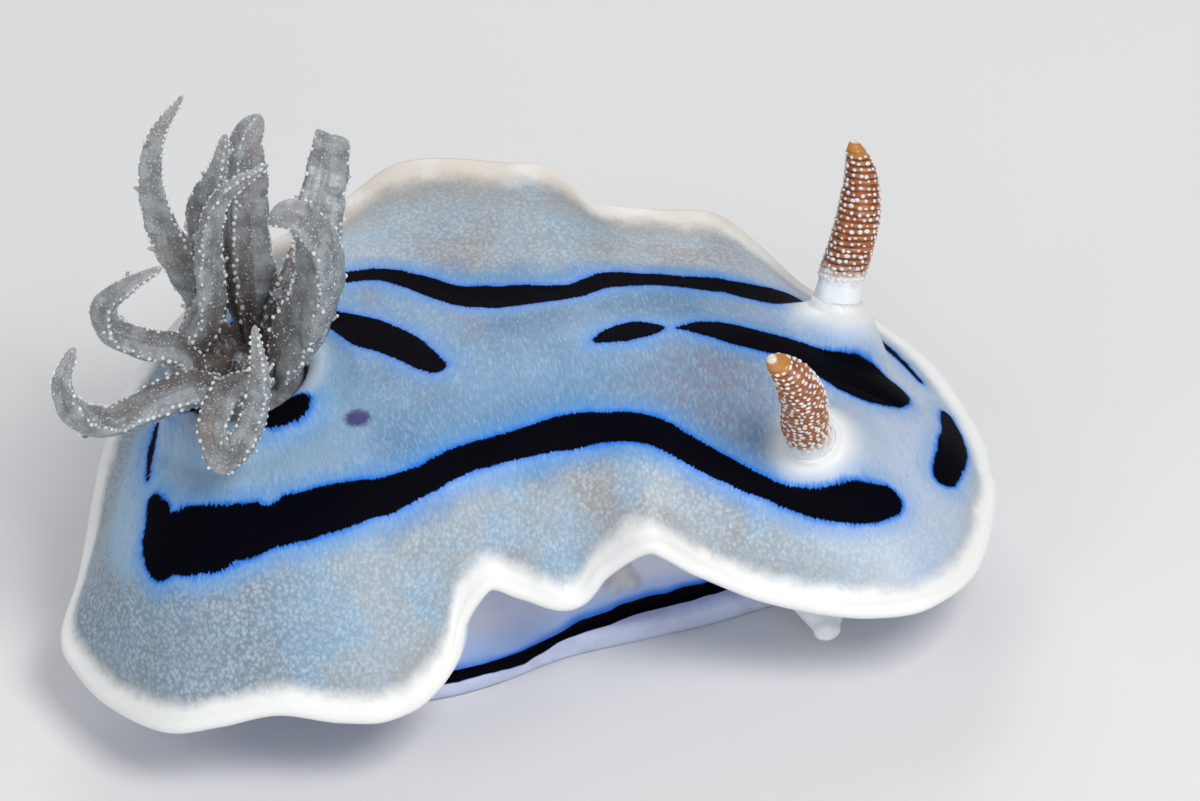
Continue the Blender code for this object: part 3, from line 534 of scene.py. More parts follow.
def raise_collar(points, origin, axis, bore, radius, rise, depth, skirt):
    """Draws a sheet of points up into a collar with a pocket inside it. Returns the sheet, and how far
    each point is outside the collar."""
    flat = points.reshape(-1, 3)
    rel = flat - origin
    height = rel @ axis
    distance = np.linalg.norm(rel - height[:, None] * axis, axis=1)
    off_top = np.abs(distance - (bore + radius) / 2) / ((radius - bore) / 2)
    crown = rise - rise * CROWN_FALL * np.clip(off_top, 0, 1) ** CROWN_ROUND
    inside = -depth + (crown + depth) * ease(bore - BORE_SLOPE, bore, distance)
    collar = np.where(distance < bore, inside, crown)
    weight = (1 - ease(radius - SKIRT_START, radius + skirt, distance)) ** SKIRT_HOLLOW
    near = (distance < radius + skirt) & (height > COLLAR_LOWEST)
    moved = height + (collar - height) * weight
    flat[near] += ((moved - height)[:, None] * axis)[near]
    return flat.reshape(points.shape), np.where(near, distance - radius, skirt).reshape(points.shape[:-1])


def raise_dome(sheets, place, facing, radius, rise):
    """Draws the points round a place out into a low dome, and returns how far each is from it."""
    rel = sheets - place
    along = rel @ facing
    away = np.linalg.norm(rel - along[:, :, None] * facing, axis=2)
    near = np.abs(along) < radius + DOME_DEPTH
    lift = rise * (1 - np.clip(away / radius, 0, 1) ** 2.4) ** 0.8 * near
    sheets += lift[:, :, None] * facing
    return np.where(near, away, FAR)


def fold_mesh(name, sheets, attributes):
    """One closed mesh from rings of points whose first and last ring fold flat onto a line."""
    count = sheets[0].shape[0]
    half = count // 2 + 1
    fold = np.array([i if i < half else count - i for i in range(count)])
    index = [fold, *(np.arange(count) + half + k * count for k in range(len(sheets) - 2))]
    index.append(fold + half + (len(sheets) - 2) * count)
    faces = np.concatenate([np.stack([inner, outer, np.roll(outer, -1), np.roll(inner, -1)], axis=1)
                            for inner, outer in zip(index[:-1], index[1:])])

    def folded(rows):
        return np.concatenate([rows[0][:half], *rows[1:-1], rows[-1][:half]])

    mesh = bpy.data.meshes.new(name)
    mesh.from_pydata((folded(sheets) * MM).tolist(), [], faces.tolist())
    for label, rows in attributes.items():
        add_attribute(mesh, label, folded(rows))
    mesh.shade_smooth()
    return mesh


def add_attribute(mesh, label, values):
    """A number or a vector on every point of a mesh."""
    values = np.asarray(values, np.float32)
    if values.ndim == 1:
        mesh.attributes.new(label, "FLOAT", "POINT").data.foreach_set("value", values)
    else:
        mesh.attributes.new(label, "FLOAT_VECTOR", "POINT").data.foreach_set("vector", values.ravel())


def add_piece(name, mesh, material, slot, *nodes):
    """A piece of the animal that rides on its one body and stands for CAD nodes."""
    piece = bpy.data.objects.new(name, mesh)
    bpy.context.scene.collection.objects.link(piece)
    mesh.materials.append(material)
    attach(piece, "root")
    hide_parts(*nodes)


# Colours, as linear red, green and blue.
BLACK = (0.002, 0.0018, 0.0045)
EDGE_BLUE = (0.001, 0.18, 0.74)
HALO_BLUE = (0.08, 0.30, 0.72)
WALL_HALO = (0.22, 0.46, 0.95)
SPOT_PURPLE = (0.022, 0.014, 0.15)
BACK_BLUE = (0.085, 0.22, 0.40)
BACK_PALE = (0.16, 0.32, 0.52)
BACK_REAR = (0.33, 0.50, 0.68)
BACK_LILAC = (0.21, 0.21, 0.28)
STREAK = (0.42, 0.60, 0.78)
SKIRT_BEIGE = (0.33, 0.32, 0.32)
SKIRT_GREY = (0.34, 0.39, 0.44)
SKIRT_BLUE = (0.27, 0.40, 0.54)
SKIRT_REAR = (0.15, 0.24, 0.34)
HEAD_PALE = (0.47, 0.55, 0.70)
GRAIN_WHITE = (0.56, 0.70, 0.80)
RIM_WHITE = (0.90, 0.90, 0.88)
RIM_CREAM = (0.70, 0.62, 0.52)
RIM_BEIGE = (0.33, 0.28, 0.23)
WALL_LILAC = (0.52, 0.56, 0.74)
WALL_PALE = (0.68, 0.71, 0.82)
WALL_GRAIN = (0.62, 0.66, 0.76)
LUMP_WHITE = (0.60, 0.60, 0.62)
FOOT_PALE = (0.60, 0.66, 0.86)
FOOT_LILAC = (0.52, 0.57, 0.76)
FOOT_GRAIN = (0.66, 0.70, 0.80)
# The mouth's slit is dark with painted shade, for the depth of the opening.
MOUTH_SLIT_SHADE = (0.06, 0.05, 0.06)
CLUB_BROWN = ((0.30, 0.09, 0.03), (0.46, 0.17, 0.06))
# Painted shade for the grooves between the club's lamellae.
CLUB_GROOVE_SHADE = (0.12, 0.035, 0.016)
CLUB_OCHRE = (0.50, 0.22, 0.05)
CLUB_TIP = (0.86, 0.82, 0.76)
CLUB_DOT = (0.88, 0.85, 0.80)
STALK_WHITE = ((0.80, 0.87, 0.90), (0.90, 0.92, 0.92))
GILL_FLESH = ((0.19, 0.205, 0.215), (0.35, 0.385, 0.41))
GILL_BROWN = (0.085, 0.055, 0.044)
GILL_WARM = (0.29, 0.235, 0.215)
# Painted shade for the troughs of the gills' pleats.
GILL_PLEAT_SHADE = (0.20, 0.18, 0.175)
GILL_TIP = (0.48, 0.46, 0.45)
GILL_DUST = (0.66, 0.72, 0.75)
GILL_BEAD = (0.95, 0.97, 0.97)
TENTACLE_WHITE = ((0.84, 0.88, 0.88), (0.93, 0.94, 0.92))
FLOOR_TONES = ((0.78, 0.78, 0.77), (0.82, 0.82, 0.81))

# How far light goes in flesh for red, green and blue, and over which length in millimetres, how rough
# the wet coat is, and the scale of the noise that shifts the grains.
FLESH_REACH = (1.0, 0.9, 0.8)
FLESH_DEPTH = 0.8
COAT_ROUGHNESS = 0.12
WAVE_SCALE = 1.5


class Shader:
    """A short way to write a node tree."""

    def __init__(self, name):
        self.material = bpy.data.materials.new(name)
        self.material.use_nodes = True
        self.tree = self.material.node_tree
        self.principled = self.tree.nodes["Principled BSDF"]

    def link(self, source, socket):
        if hasattr(source, "is_output"):
            self.tree.links.new(source, socket)
        else:
            socket.default_value = source

    def node(self, kind, inputs=(), **settings):
        """A new node with its settings, and its inputs by number or name."""
        node = self.tree.nodes.new("ShaderNode" + kind)
        for key, value in settings.items():
            setattr(node, key, value)
        for key, value in dict(inputs).items():
            self.link(value, node.inputs[key])
        return node

    def attribute(self, label, output="Fac"):
        return self.node("Attribute", attribute_name=label).outputs[output]

    def where(self):
        return self.node("TexCoord").outputs["Object"]

    def math(self, operation, first, *others):
        """Values joined by one operation, from the first to the last."""
        for other in others:
            first = self.node("Math", {0: first, 1: other}, operation=operation).outputs[0]
        return first

    def plus(self, *values):
        return self.math("ADD", *values)

    def times(self, *values):
        return self.math("MULTIPLY", *values)

    def centred(self, value, scale):
        """A noise moved to lie about zero and scaled."""
        return self.times(self.math("SUBTRACT", value, 0.5), scale)

    def span(self, value, low, high, to_low=0.0, to_high=1.0):
        """A smooth step from to_low at low to to_high at high."""
        inputs = enumerate((value, low, high, to_low, to_high))
        return self.node("MapRange", inputs, interpolation_type="SMOOTHSTEP").outputs[0]

    def below(self, value, low, high):
        """A smooth step down, from 1 at low to 0 at high."""
        return self.span(value, low, high, 1.0, 0.0)

    def mix(self, factor, *colours):
        """From the first colour to the second. The mix node has these on its inputs 6 and 7."""
        inputs = {0: factor}
        for number, colour in enumerate(colours, 6):
            inputs[number] = (*colour, 1.0) if isinstance(colour, tuple) else colour
        return self.node("Mix", inputs, data_type="RGBA").outputs[2]

    def scaled(self, vector, scale):
        return self.node("VectorMath", {0: vector, 1: scale}, operation="MULTIPLY").outputs[0]

    def wavy(self, vector, reach):
        """A place shifted by a noise, so that what is drawn there has no straight rows."""
        noise = self.node("TexNoise", {"Vector": vector, "Scale": WAVE_SCALE * PER_MM}).outputs["Color"]
        inputs = {0: noise, 1: (reach, reach, reach), 2: vector}
        return self.node("VectorMath", inputs, operation="MULTIPLY_ADD").outputs[0]

    def noise(self, vector, scale, detail=2.0, rough=0.5):
        inputs = {"Vector": vector, "Scale": scale, "Detail": detail, "Roughness": rough}
        return self.node("TexNoise", inputs).outputs["Fac"]

    def cells(self, vector, scale):
        return self.node("TexVoronoi", {"Vector": vector, "Scale": scale}).outputs["Distance"]

    def bump(self, height, strength, distance, normal=None):
        inputs = {"Strength": strength, "Distance": distance, "Height": height}
        if normal is not None:
            inputs["Normal"] = normal
        return self.node("Bump", inputs).outputs["Normal"]

    def finish(self, colour, roughness, normal, subsurface=0.0, coat=0.0, reach=FLESH_DEPTH):
        inputs = {
            "Base Color": colour, "Roughness": roughness, "Normal": normal,
            "Subsurface Weight": subsurface, "Subsurface Radius": FLESH_REACH,
            "Subsurface Scale": reach * MM, "Coat Weight": coat, "Coat Roughness": COAT_ROUGHNESS,
        }
        for label, value in inputs.items():
            self.link(value, self.principled.inputs[label])
        return self.material


def skin_material():
    """The mantle's markings and grain, the paler side and the foot with its black line."""
    s = Shader("skin")
    where = s.where()
    skirt, rear, head, side = (s.attribute(label) for label in ("skirt", "rear", "head", "side"))
    threads = s.noise(s.scaled(s.attribute("fibre", "Vector"), (1.0, 0.2, 1.0)), 8.0, 3.0, 0.6)
    hairs = s.noise(s.scaled(where, (1.0, 0.2, 0.3)), 9.5 * PER_MM, 3.0, 0.6)
    coarse = s.noise(where, 0.9 * PER_MM)
    fine = s.noise(where, 6.0 * PER_MM)
    broad = s.noise(where, 0.16 * PER_MM)
    patch = s.noise(where, 0.3 * PER_MM)
    ragged = s.plus(s.times(s.centred(threads, 1.0), s.span(rear, 0.0, 1.0, 0.4, 0.7)),
                    s.centred(coarse, 0.30))
    distance = s.plus(s.attribute("black"), ragged)
    black = s.below(distance, -0.03, 0.05)

    back = s.mix(s.span(broad, 0.38, 0.6), BACK_BLUE, BACK_PALE)
    lilac = s.math("MAXIMUM", s.attribute("lilac"), s.times(s.span(patch, 0.52, 0.7), 0.5))
    back = s.mix(s.times(lilac, s.span(coarse, 0.3, 0.6, 0.5, 0.9)), back, BACK_LILAC)
    back = s.mix(s.times(s.attribute("pale"), 0.85), back, BACK_REAR)
    back = s.mix(head, back, HEAD_PALE)
    back = s.mix(s.times(s.span(threads, 0.4, 0.75), 0.3), back, STREAK)
    back = s.mix(s.times(s.span(hairs, 0.5, 0.72), 0.45), back, STREAK)
    back = s.mix(s.times(s.span(hairs, 0.48, 0.3), 0.25), back, BACK_LILAC)

    grains = s.cells(s.scaled(s.wavy(where, 0.12 * MM), (1.1, 0.85, 0.85)), 4.4 * PER_MM)
    grain = s.times(s.below(grains, 0.12, 0.72), s.span(coarse, 0.3, 0.7, 0.55, 1.0))
    grained = s.mix(s.span(broad, 0.4, 0.58), SKIRT_BEIGE, SKIRT_BLUE)
    grained = s.mix(s.span(patch, 0.4, 0.6), grained, SKIRT_GREY)
    grained = s.mix(s.times(rear, 0.7), grained, SKIRT_REAR)
    grained = s.mix(s.times(head, 0.8), grained, HEAD_PALE)
    grained = s.mix(s.times(grain, 0.5), grained, GRAIN_WHITE)
    grained = s.mix(s.times(s.span(fine, 0.45, 0.7), 0.3), grained, GRAIN_WHITE)
    colour = s.mix(s.span(s.plus(skirt, s.centred(coarse, 0.5)), 0.0, 0.5), back, grained)

    combed = s.plus(distance, s.centred(hairs, 1.0), s.centred(threads, 0.6))
    halo = s.times(s.below(combed, 0.05, 1.45), s.span(head, 0.0, 1.0, 0.68, 0.45))
    colour = s.mix(halo, colour, HALO_BLUE)
    cream = s.times(s.attribute("cream"), s.span(patch, 0.36, 0.56, 0.3, 1.0))
    rim_edge = s.plus(s.attribute("rim"), s.centred(coarse, 0.7), s.centred(hairs, 0.2))
    beige = s.math("MAXIMUM", cream, s.span(patch, 0.4, 0.6, 0.1, 0.5))
    beige = s.times(beige, s.below(rim_edge, 0.8, 2.6))
    colour = s.mix(s.times(beige, 0.6), colour, RIM_BEIGE)
    rim_colour = s.mix(s.times(cream, 0.8), RIM_WHITE, RIM_CREAM)
    colour = s.mix(s.below(rim_edge, 0.3, 1.35), colour, rim_colour)
    colour = s.mix(s.attribute("white"), colour, RIM_WHITE)
    colour = s.mix(s.below(distance, 0.0, 0.34), colour, EDGE_BLUE)
    colour = s.mix(black, colour, BLACK)
    spot = s.plus(s.attribute("purple"), s.centred(coarse, 0.5), s.centred(fine, 0.5))
    colour = s.mix(s.times(s.below(spot, -0.25, 0.25), 0.95), colour, SPOT_PURPLE)

    wall = s.mix(s.span(broad, 0.4, 0.6), WALL_LILAC, WALL_PALE)
    wall = s.mix(s.times(s.span(fine, 0.45, 0.7), 0.25), wall, WALL_GRAIN)
    wall = s.mix(s.below(rim_edge, 0.1, 0.8), wall, RIM_WHITE)
    wall = s.mix(s.attribute("lump"), wall, LUMP_WHITE)
    wall = s.mix(s.times(s.attribute("lips"), 0.8), wall, LUMP_WHITE)
    # Painted shade: the mouth's slit is darkened where the opening lies in shade.
    wall = s.mix(s.attribute("slit"), wall, MOUTH_SLIT_SHADE)
    line = s.plus(s.attribute("foot_line"), s.times(ragged, 0.45), s.centred(patch, 0.9))
    above = s.math("SUBTRACT", -0.5, line)
    wall = s.mix(s.times(s.below(above, 0.1, 1.7), 0.75), wall, WALL_HALO)
    wall = s.mix(s.below(above, 0.1, 0.6), wall, EDGE_BLUE)
    foot = s.mix(s.span(coarse, 0.35, 0.65), FOOT_PALE, FOOT_LILAC)
    foot = s.mix(s.times(s.span(fine, 0.45, 0.7), 0.3), foot, FOOT_GRAIN)
    wall = s.mix(s.span(line, 0.38, 0.48), wall, foot)
    inside = s.times(s.span(line, -0.6, -0.52), s.below(line, 0.4, 0.48))
    wall = s.mix(inside, wall, BLACK)
    colour = s.mix(side, colour, wall)

    dark = s.math("MAXIMUM", s.times(black, s.math("SUBTRACT", 1.0, side)), s.times(inside, side))
    height = s.plus(s.times(grain, s.span(skirt, 0.0, 0.5, 0.1, 0.7)), s.times(hairs, 0.4))
    normal = s.bump(height, 0.3, 0.045 * MM)
    normal = s.bump(fine, 0.2, 0.03 * MM, normal)
    rough = s.plus(s.span(fine, 0.2, 0.8, 0.34, 0.5), s.times(dark, 0.2))
    s.link(s.span(dark, 0.0, 1.0, 0.45, 0.02), s.principled.inputs["Specular IOR Level"])
    return s.finish(colour, rough, normal, subsurface=0.12)


def floor_material():
    """Pale and plain, with a faint grain."""
    s = Shader("floor")
    where = s.where()
    tone = s.mix(s.noise(where, 12.0, 3.0), *FLOOR_TONES)
    return s.finish(tone, 0.75, s.bump(s.noise(where, 900.0), 0.05, 0.05 * MM))


def stroke_gap(points, stroke, tangents, run):
    """How far points are outside a stroke's edge, and where along the stroke they lie."""
    gap = np.full(len(points), math.inf)
    where = np.zeros(len(points))
    for (x, y, z, half), tangent, far in zip(stroke, tangents, run):
        rel = points - (x, y, z)
        away = np.linalg.norm(rel, axis=1)
        outside = away - max(half, STROKE_LEAST)
        closer = outside < gap
        gap[closer] = outside[closer]
        ahead = np.clip(rel[closer] @ tangent / np.maximum(away[closer], 1e-6), -1, 1)
        where[closer] = far + np.arcsin(ahead) * away[closer]
    return gap, where


def stroke_distance(points):
    """For points of the back, the distance to the nearest black stroke's edge, negative inside, and
    a place along and across it for the fibres."""
    plan = KDTree(len(points))
    for i, (x, y, _) in enumerate(points):
        plan.insert((x, y, 0.0), i)
    plan.balance()

    def height_at(x, y):
        return points[plan.find((x, y, 0.0))[1], 2]

    best = np.full(len(points), FAR)
    fibre = points * (1.0, 1.0, 0.0)
    for number, rows in enumerate(STRIPES):
        rows = np.array(rows)
        knots = run_along(rows[:, :2])
        dense = smooth(knots, rows, np.arange(0, knots[-1], STROKE_STEP))
        stroke = np.array([(x, y, height_at(x, y), half) for x, y, half in dense])
        run = run_along(stroke[:, :3])
        tangents = unit(np.gradient(stroke[:, :3], axis=0))
        for first in range(0, len(points), CHUNK):
            gap, where = stroke_gap(points[first:first + CHUNK], stroke, tangents, run)
            better = gap < best[first:first + CHUNK]
            spot = np.nonzero(better)[0] + first
            best[spot] = gap[better]
            fibre[spot, 0] = where[better] + number * STROKE_APART
            fibre[spot, 1] = gap[better]
    for x, y, radius in NOTCHES:
        place = points[plan.find((x, y, 0.0))[1]]
        best = np.maximum(best, radius - np.linalg.norm(points - place, axis=1))
    return best, fibre


def raise_collars(upper, rhinophores, gill_origin, gill_axis):
    """The upper face with its sheaths and pocket raised, and how white each point is round them."""
    raised = upper.copy()
    white = np.zeros(upper.shape[:2])
    for name, (origin, axis) in rhinophores.items():
        raised, edge = raise_collar(raised, origin, axis, SHEATH_BORE, SHEATH_RADIUS, SHEATH_RISE[name],
                                    SHEATH_DEPTH, SHEATH_SKIRT)
        white = np.maximum(white, 0.9 * (1 - ease(-0.1, SHEATH_SKIRT * 0.6, edge)))
    raised, edge = raise_collar(raised, gill_origin, gill_axis, POCKET_BORE, POCKET_RADIUS, POCKET_RISE,
                                POCKET_DEPTH, POCKET_SKIRT)
    return raised, np.maximum(white, 0.35 * (1 - ease(-0.4, 0.4, edge)))


def under_face(bearings):
    """The mantle's under face, from the rim to where it meets the wall of the body."""
    cosine = np.cos(bearings)
    joint = JOINT_SHARE - JOINT_HEAD * np.clip(cosine, 0, 1) ** 4 - JOINT_TAIL * np.clip(-cosine, 0, 1) ** 4
    shares = 1 - (1 - joint)[None, :] * np.linspace(0, 1, UNDER_RINGS)[:, None]
    facing = inward(face_normals(bearings, shares), shares)
    return back_profiles(bearings, shares) + facing * thickness(shares)[:, :, None]


def round_rim(upper, under):
    """Rings round the rim, from the last ring of the upper face to the first of the under face."""
    out = unit(upper[-1] - upper[-2])
    middle = (upper[-1] + under[0]) / 2
    half = (upper[-1] - under[0]) / 2
    return [middle + half * math.cos(angle) + out * RIM * math.sin(angle) for angle in np.radians(RIM_ANGLES)]


def wall_and_foot(bearings, top):
    """Rings of the body's wall under its top ring, and of the foot from there to the sole's middle."""
    base, centre = foot_ring(bearings, TRUNK_FRONT, TRUNK_BACK, 1.0)
    base = base + (0, 0, FOOT_HEIGHT)
    waist = np.clip((base[:, 1] - centre) / WAIST_REACH, -1, 1)[:, None] * np.array([0.0, WAIST, 0.0])
    wall = [top * (1 - t) + base * t - waist * math.sin(math.pi * t)
            for t in np.linspace(0, 1, WALL_RINGS + 1)[1:]]
    edge, _ = foot_ring(bearings, FOOT_FRONT, FOOT_BACK, 0.0)
    line = middle_line(bearings, FOOT_FRONT - 2.0, FOOT_BACK + 1.0, 0.0)
    foot = []
    for share, drop in FOOT_TOP:
        x, y, _ = (base * (1 - share) + edge * share).T
        back = np.clip((x - TRUNK_BACK + TAIL_START) / (FOOT_BACK - TRUNK_BACK + TAIL_START), 0, 1)
        off = np.abs(y - foot_line(x, MIDDLE)) / foot_line(x, HALF_WIDTH)
        keel = TAIL_KEEL * np.sin(math.pi * back) ** 2 * np.clip(1 - off, 0, 1) ** 0.7
        foot.append(np.stack([x, y, FOOT_HEIGHT - drop + keel], axis=1))
    foot.append(edge + (0, 0, FOOT_EDGE))
    foot += [line + (edge - line) * share + (0, 0, height) for share, height in FOOT_UNDER]
    return wall, foot


def soften(sheets, first, last, times):
    """Evens out the rings from first to last with their neighbours."""
    for _ in range(times):
        for k in range(first, last):
            sheets[k] = sheets[k] * 0.5 + (sheets[k - 1] + sheets[k + 1]) * 0.25


def white_rim(upper):
    """How far points of the upper face are from the rim, told shorter where the white is wider."""
    x, y = upper[:, :, 0], upper[:, :, 1]
    run = run_along(upper)
    distance = run[-1] - run
    wider, start, end = LEFT_RIM
    distance *= 1 - wider * ease(start, end, y)
    for place, reach, share in WIDE_RIM:
        distance *= 1 - share * np.exp(-((x - place) / reach) ** 2) * (y < 0)
    return distance


def line_distance(sheets, first, flange):
    """How far the wall and the foot are below the middle of the foot's black line, against its width."""
    last = flange + len(FOOT_TOP) + 1
    fallen = run_along(sheets[first:last])
    distance = np.full(sheets.shape[:2], FAR)
    distance[first:last] = fallen - fallen[WALL_RINGS]
    rear = ease(*LINE_CHANGE, sheets[:, :, 0])
    return (distance - LINE_SHIFT * rear) / (1 + LINE_GROWTH * rear)


def make_skin():
    """The whole flesh as one closed mesh: back, rim, under side, wall, foot and sole."""
    bearings = np.arange(STATIONS) * TURN / STATIONS
    shares = np.linspace(0, 1, UPPER_RINGS)
    upper = back_profiles(bearings, shares)
    normals = face_normals(bearings, shares)
    rhinophores = rhinophore_places(upper, normals)
    tilt = math.radians(GILL_TILT)
    gill_origin = on_back(GILL_X, GILL_Y, upper, normals)[0]
    gill_axis = np.array([-math.sin(tilt), 0.0, math.cos(tilt)])
    raised, white = raise_collars(upper, rhinophores, gill_origin, gill_axis)
    under = under_face(bearings)
    rim = round_rim(upper, under)
    wall, foot = wall_and_foot(bearings, under[-1])
    sheets = np.array([*raised, *rim, *under, *wall, *foot])
    first_wall = UPPER_RINGS + len(rim) + UNDER_RINGS
    flange = first_wall + WALL_RINGS
    soften(sheets, first_wall - 6, first_wall + 8, 8)
    soften(sheets, flange - 5, flange + 2, 4)
    lips, slit, lump = shape_wall(sheets, first_wall, flange)

    def padded(rows, fill):
        extra = np.full((len(sheets) - len(rows),) + rows.shape[1:], fill, float)
        return np.concatenate([rows, extra])

    x, y = sheets[:, :, 0], sheets[:, :, 1]
    black, fibre = stroke_distance(upper.reshape(-1, 3))
    spot_x, spot_y, spot_radius = PURPLE_SPOT
    purple = np.hypot(upper[:, :, 0] - spot_x, upper[:, :, 1] - spot_y) - spot_radius
    rims = np.concatenate([white_rim(upper), np.zeros((len(rim), STATIONS)), run_along(under)])
    patch_x, patch_y, patch_along, patch_across = LILAC_PATCH
    attributes = {
        "black": padded(black.reshape(upper.shape[:2]), FAR),
        "fibre": padded(fibre.reshape(upper.shape), 0.0),
        "rim": padded(rims, FAR),
        "side": padded(np.zeros((UPPER_RINGS + 4, STATIONS)), 1.0),
        "skirt": padded(ease(SHOULDER_SHARE, 1.0, spread(shares, STATIONS)) * 2.0, 0.0),
        "white": padded(white, 0.0),
        "purple": padded(purple, FAR),
        "foot_line": line_distance(sheets, first_wall, flange),
        "cream": ease(9.0, 13.0, y),
        "lilac": np.exp(-((x - patch_x) / patch_along) ** 2 - ((y - patch_y) / patch_across) ** 2),
        "rear": ease(-9.0, -16.0, x),
        "pale": ease(-5.0, -12.0, x),
        "lips": lips,
        "slit": slit,
        "lump": lump,
        "head": ease(10.0, 17.0, x),
    }
    mesh = fold_mesh("skin", sheets, attributes)
    add_piece("skin", mesh, skin_material(), "mantle", "mantle", "head", "trunk", "foot", "tail")
    return rhinophores, gill_origin, gill_axis


def shape_wall(sheets, first, last):
    """Raises the lips with the slit of the mouth on the head, and the lumps of the genital opening on
    the right side. Returns a share for each of lips, slit and lumps on every point."""
    count = sheets.shape[1]
    wall = sheets[first:last]
    lips, slit, lump = np.zeros((3, *sheets.shape[:2]))

    def facing_at(ring, station):
        along = wall[ring, (station + 2) % count] - wall[ring, station - 2]
        down = wall[ring + 2, station] - wall[ring - 2, station]
        return wall[ring, station].copy(), unit(np.cross(down, along))

    right = wall[:, count // 2:]
    for x, height, radius in GENITAL_LUMPS:
        near = np.hypot(right[:, :, 0] - x, right[:, :, 2] - height)
        ring, station = np.unravel_index(int(np.argmin(near)), near.shape)
        place, facing = facing_at(int(np.clip(ring, 2, len(wall) - 3)), station + count // 2)
        away = raise_dome(wall, place, facing, radius * 1.1, radius * 0.6)
        lump[first:last] = np.maximum(lump[first:last], 1 - ease(radius * 0.7, radius * 1.3, away))

    place, facing = facing_at(round(MOUTH_SHARE * len(wall)), round(MOUTH_BEARING / 360 * count))
    away = raise_dome(wall, place, facing, LIP_RADIUS * 1.1, LIP_RISE)
    lips[first:last] = 1 - ease(LIP_RADIUS * 0.8, LIP_RADIUS * 1.3, away)
    across = unit(np.cross((0.0, 0.0, 1.0), facing))
    tall = np.cross(facing, across)
    rel = wall - place
    reach = np.hypot(rel @ across / (MOUTH_WIDTH / 2), rel @ tall / (MOUTH_LENGTH / 2))
    inside = (1 - ease(0.6, 1.5, reach)) * (away < LIP_RADIUS)
    wall -= (inside * LIP_RISE)[:, :, None] * facing
    # This share marks where the material paints the mouth's shade.
    slit[first:last] = inside
    return lips, slit, lump


def tube_faces(rings, count):
    """Quads of a tube of rings, and a closing fan at each end on two extra points at its end."""
    k = np.arange(rings - 1)[:, None] * count
    i = np.arange(count)
    j = (i + 1) % count
    last = (rings - 1) * count
    faces = np.stack([k + i, k + j, k + count + j, k + count + i], axis=2).reshape(-1, 4).tolist()
    for a, b in zip(i.tolist(), j.tolist()):
        faces.append((b, a, rings * count))
        faces.append((last + a, last + b, rings * count + 1))
    return faces


class Build:
    """Points, faces and point attributes of one mesh that is joined from several closed shells."""

    def __init__(self, *labels):
        self.points = []
        self.faces = []
        self.count = 0
        self.values = {label: [] for label in labels}

    def add(self, points, faces, **values):
        self.faces += [tuple(self.count + i for i in face) for face in faces]
        self.points.append(points)
        self.count += len(points)
        for label, rows in self.values.items():
            rows.append(np.broadcast_to(values.get(label, 0.0), len(points)))

    def tube(self, rings, start, end, **values):
        """A tube of rings that ends in two points."""
        ends = {}
        for label, rows in values.items():
            rows = np.broadcast_to(rows, rings.shape[:2])
            ends[label] = np.concatenate([rows.ravel(), [rows[0].mean(), rows[-1].mean()]])
        points = np.concatenate([rings.reshape(-1, 3), [start, end]])
        self.add(points, tube_faces(*rings.shape[:2]), **ends)

    def bead(self, shape, place, axes, sizes, **values):
        """A bead of a given shape stretched along three axes."""
        points, faces = shape
        turned = points[:, :1] * sizes[0] * axes[0] + points[:, 1:2] * sizes[1] * axes[1]
        self.add(place + (turned + points[:, 2:] * sizes[2] * axes[2]), faces, **values)

    def mesh(self, name):
        mesh = bpy.data.meshes.new(name)
        mesh.from_pydata((np.concatenate(self.points) * MM).tolist(), [], self.faces)
        for label, rows in self.values.items():
            add_attribute(mesh, label, np.concatenate(rows))
        mesh.shade_smooth()
        return mesh


def bead_shape(level):
    """A small round bead of radius one: its points and faces."""
    ball = bmesh.new()
    bmesh.ops.create_icosphere(ball, subdivisions=level, radius=1.0)
    points = np.array([v.co[:] for v in ball.verts])
    faces = [tuple(v.index for v in face.verts) for face in ball.faces]
    ball.free()
    return points, faces


def direction(angle, side, other):
    """The direction at an angle from one side to the other."""
    return math.cos(angle) * side + math.sin(angle) * other


def ring_spokes(count, side, other):
    """Angles spread evenly round a ring, and the directions that they point in."""
    angles = np.arange(count) * TURN / count
    return angles, np.cos(angles)[:, None] * side + np.sin(angles)[:, None] * other


# The rings and points round each tube, and the rows of a rhinophore's white dots: their spacing, the
# share of the height where they end, and the number of the extra row up its rear side.
RHINOPHORE_AROUND = 72
STALK_RINGS = 30
CLUB_RINGS = 420
DOT_SPACING = 0.39
DOTS_END = 0.93
REAR_DOTS = 34


def club_radius(t):
    """The club's radius at a share of its height."""
    return CLUB_RADIUS * (1 - np.clip(t, 0, 1) ** 2.4) ** 0.5


def rhinophore_rings(name, along, start, neck, angles):
    """For heights along the axis, the radius at each angle, the share of the club's height, and how
    deep each point lies in a groove between lamellae."""
    stalk = along[:STALK_RINGS - 1]
    height = (along - neck) / (RHINOPHORE_LENGTH * (1 - STALK_SHARE))
    foot = STALK_RADIUS + 0.1 * (1 - ease(1.5, neck, stalk))
    foot = foot + (CLUB_RADIUS - 0.04 - STALK_RADIUS) * ease(start, neck, stalk)
    base = np.concatenate([foot, club_radius(height[STALK_RINGS - 1:])])
    slant = 0.3 * np.sin(angles * 2)[None, :]
    ridge = np.abs(np.sin(math.pi * height[:, None] * LAMELLAE + slant))
    low = BROWN_FROM[name]
    fade = (ease(low - 0.03, low + 0.08, height) * (1 - ease(0.9, 0.97, height)))[:, None]
    radius = base[:, None] + LAMELLA_DEPTH * (ridge ** 0.7 - 0.75) * fade
    wave = 0.02 * np.sin(angles * 3 + 1.0)[None, :] + 0.015 * np.sin(angles * 5 + along[:, None] * 2.1)
    return radius * (1 + wave), height, (1 - ridge) * fade


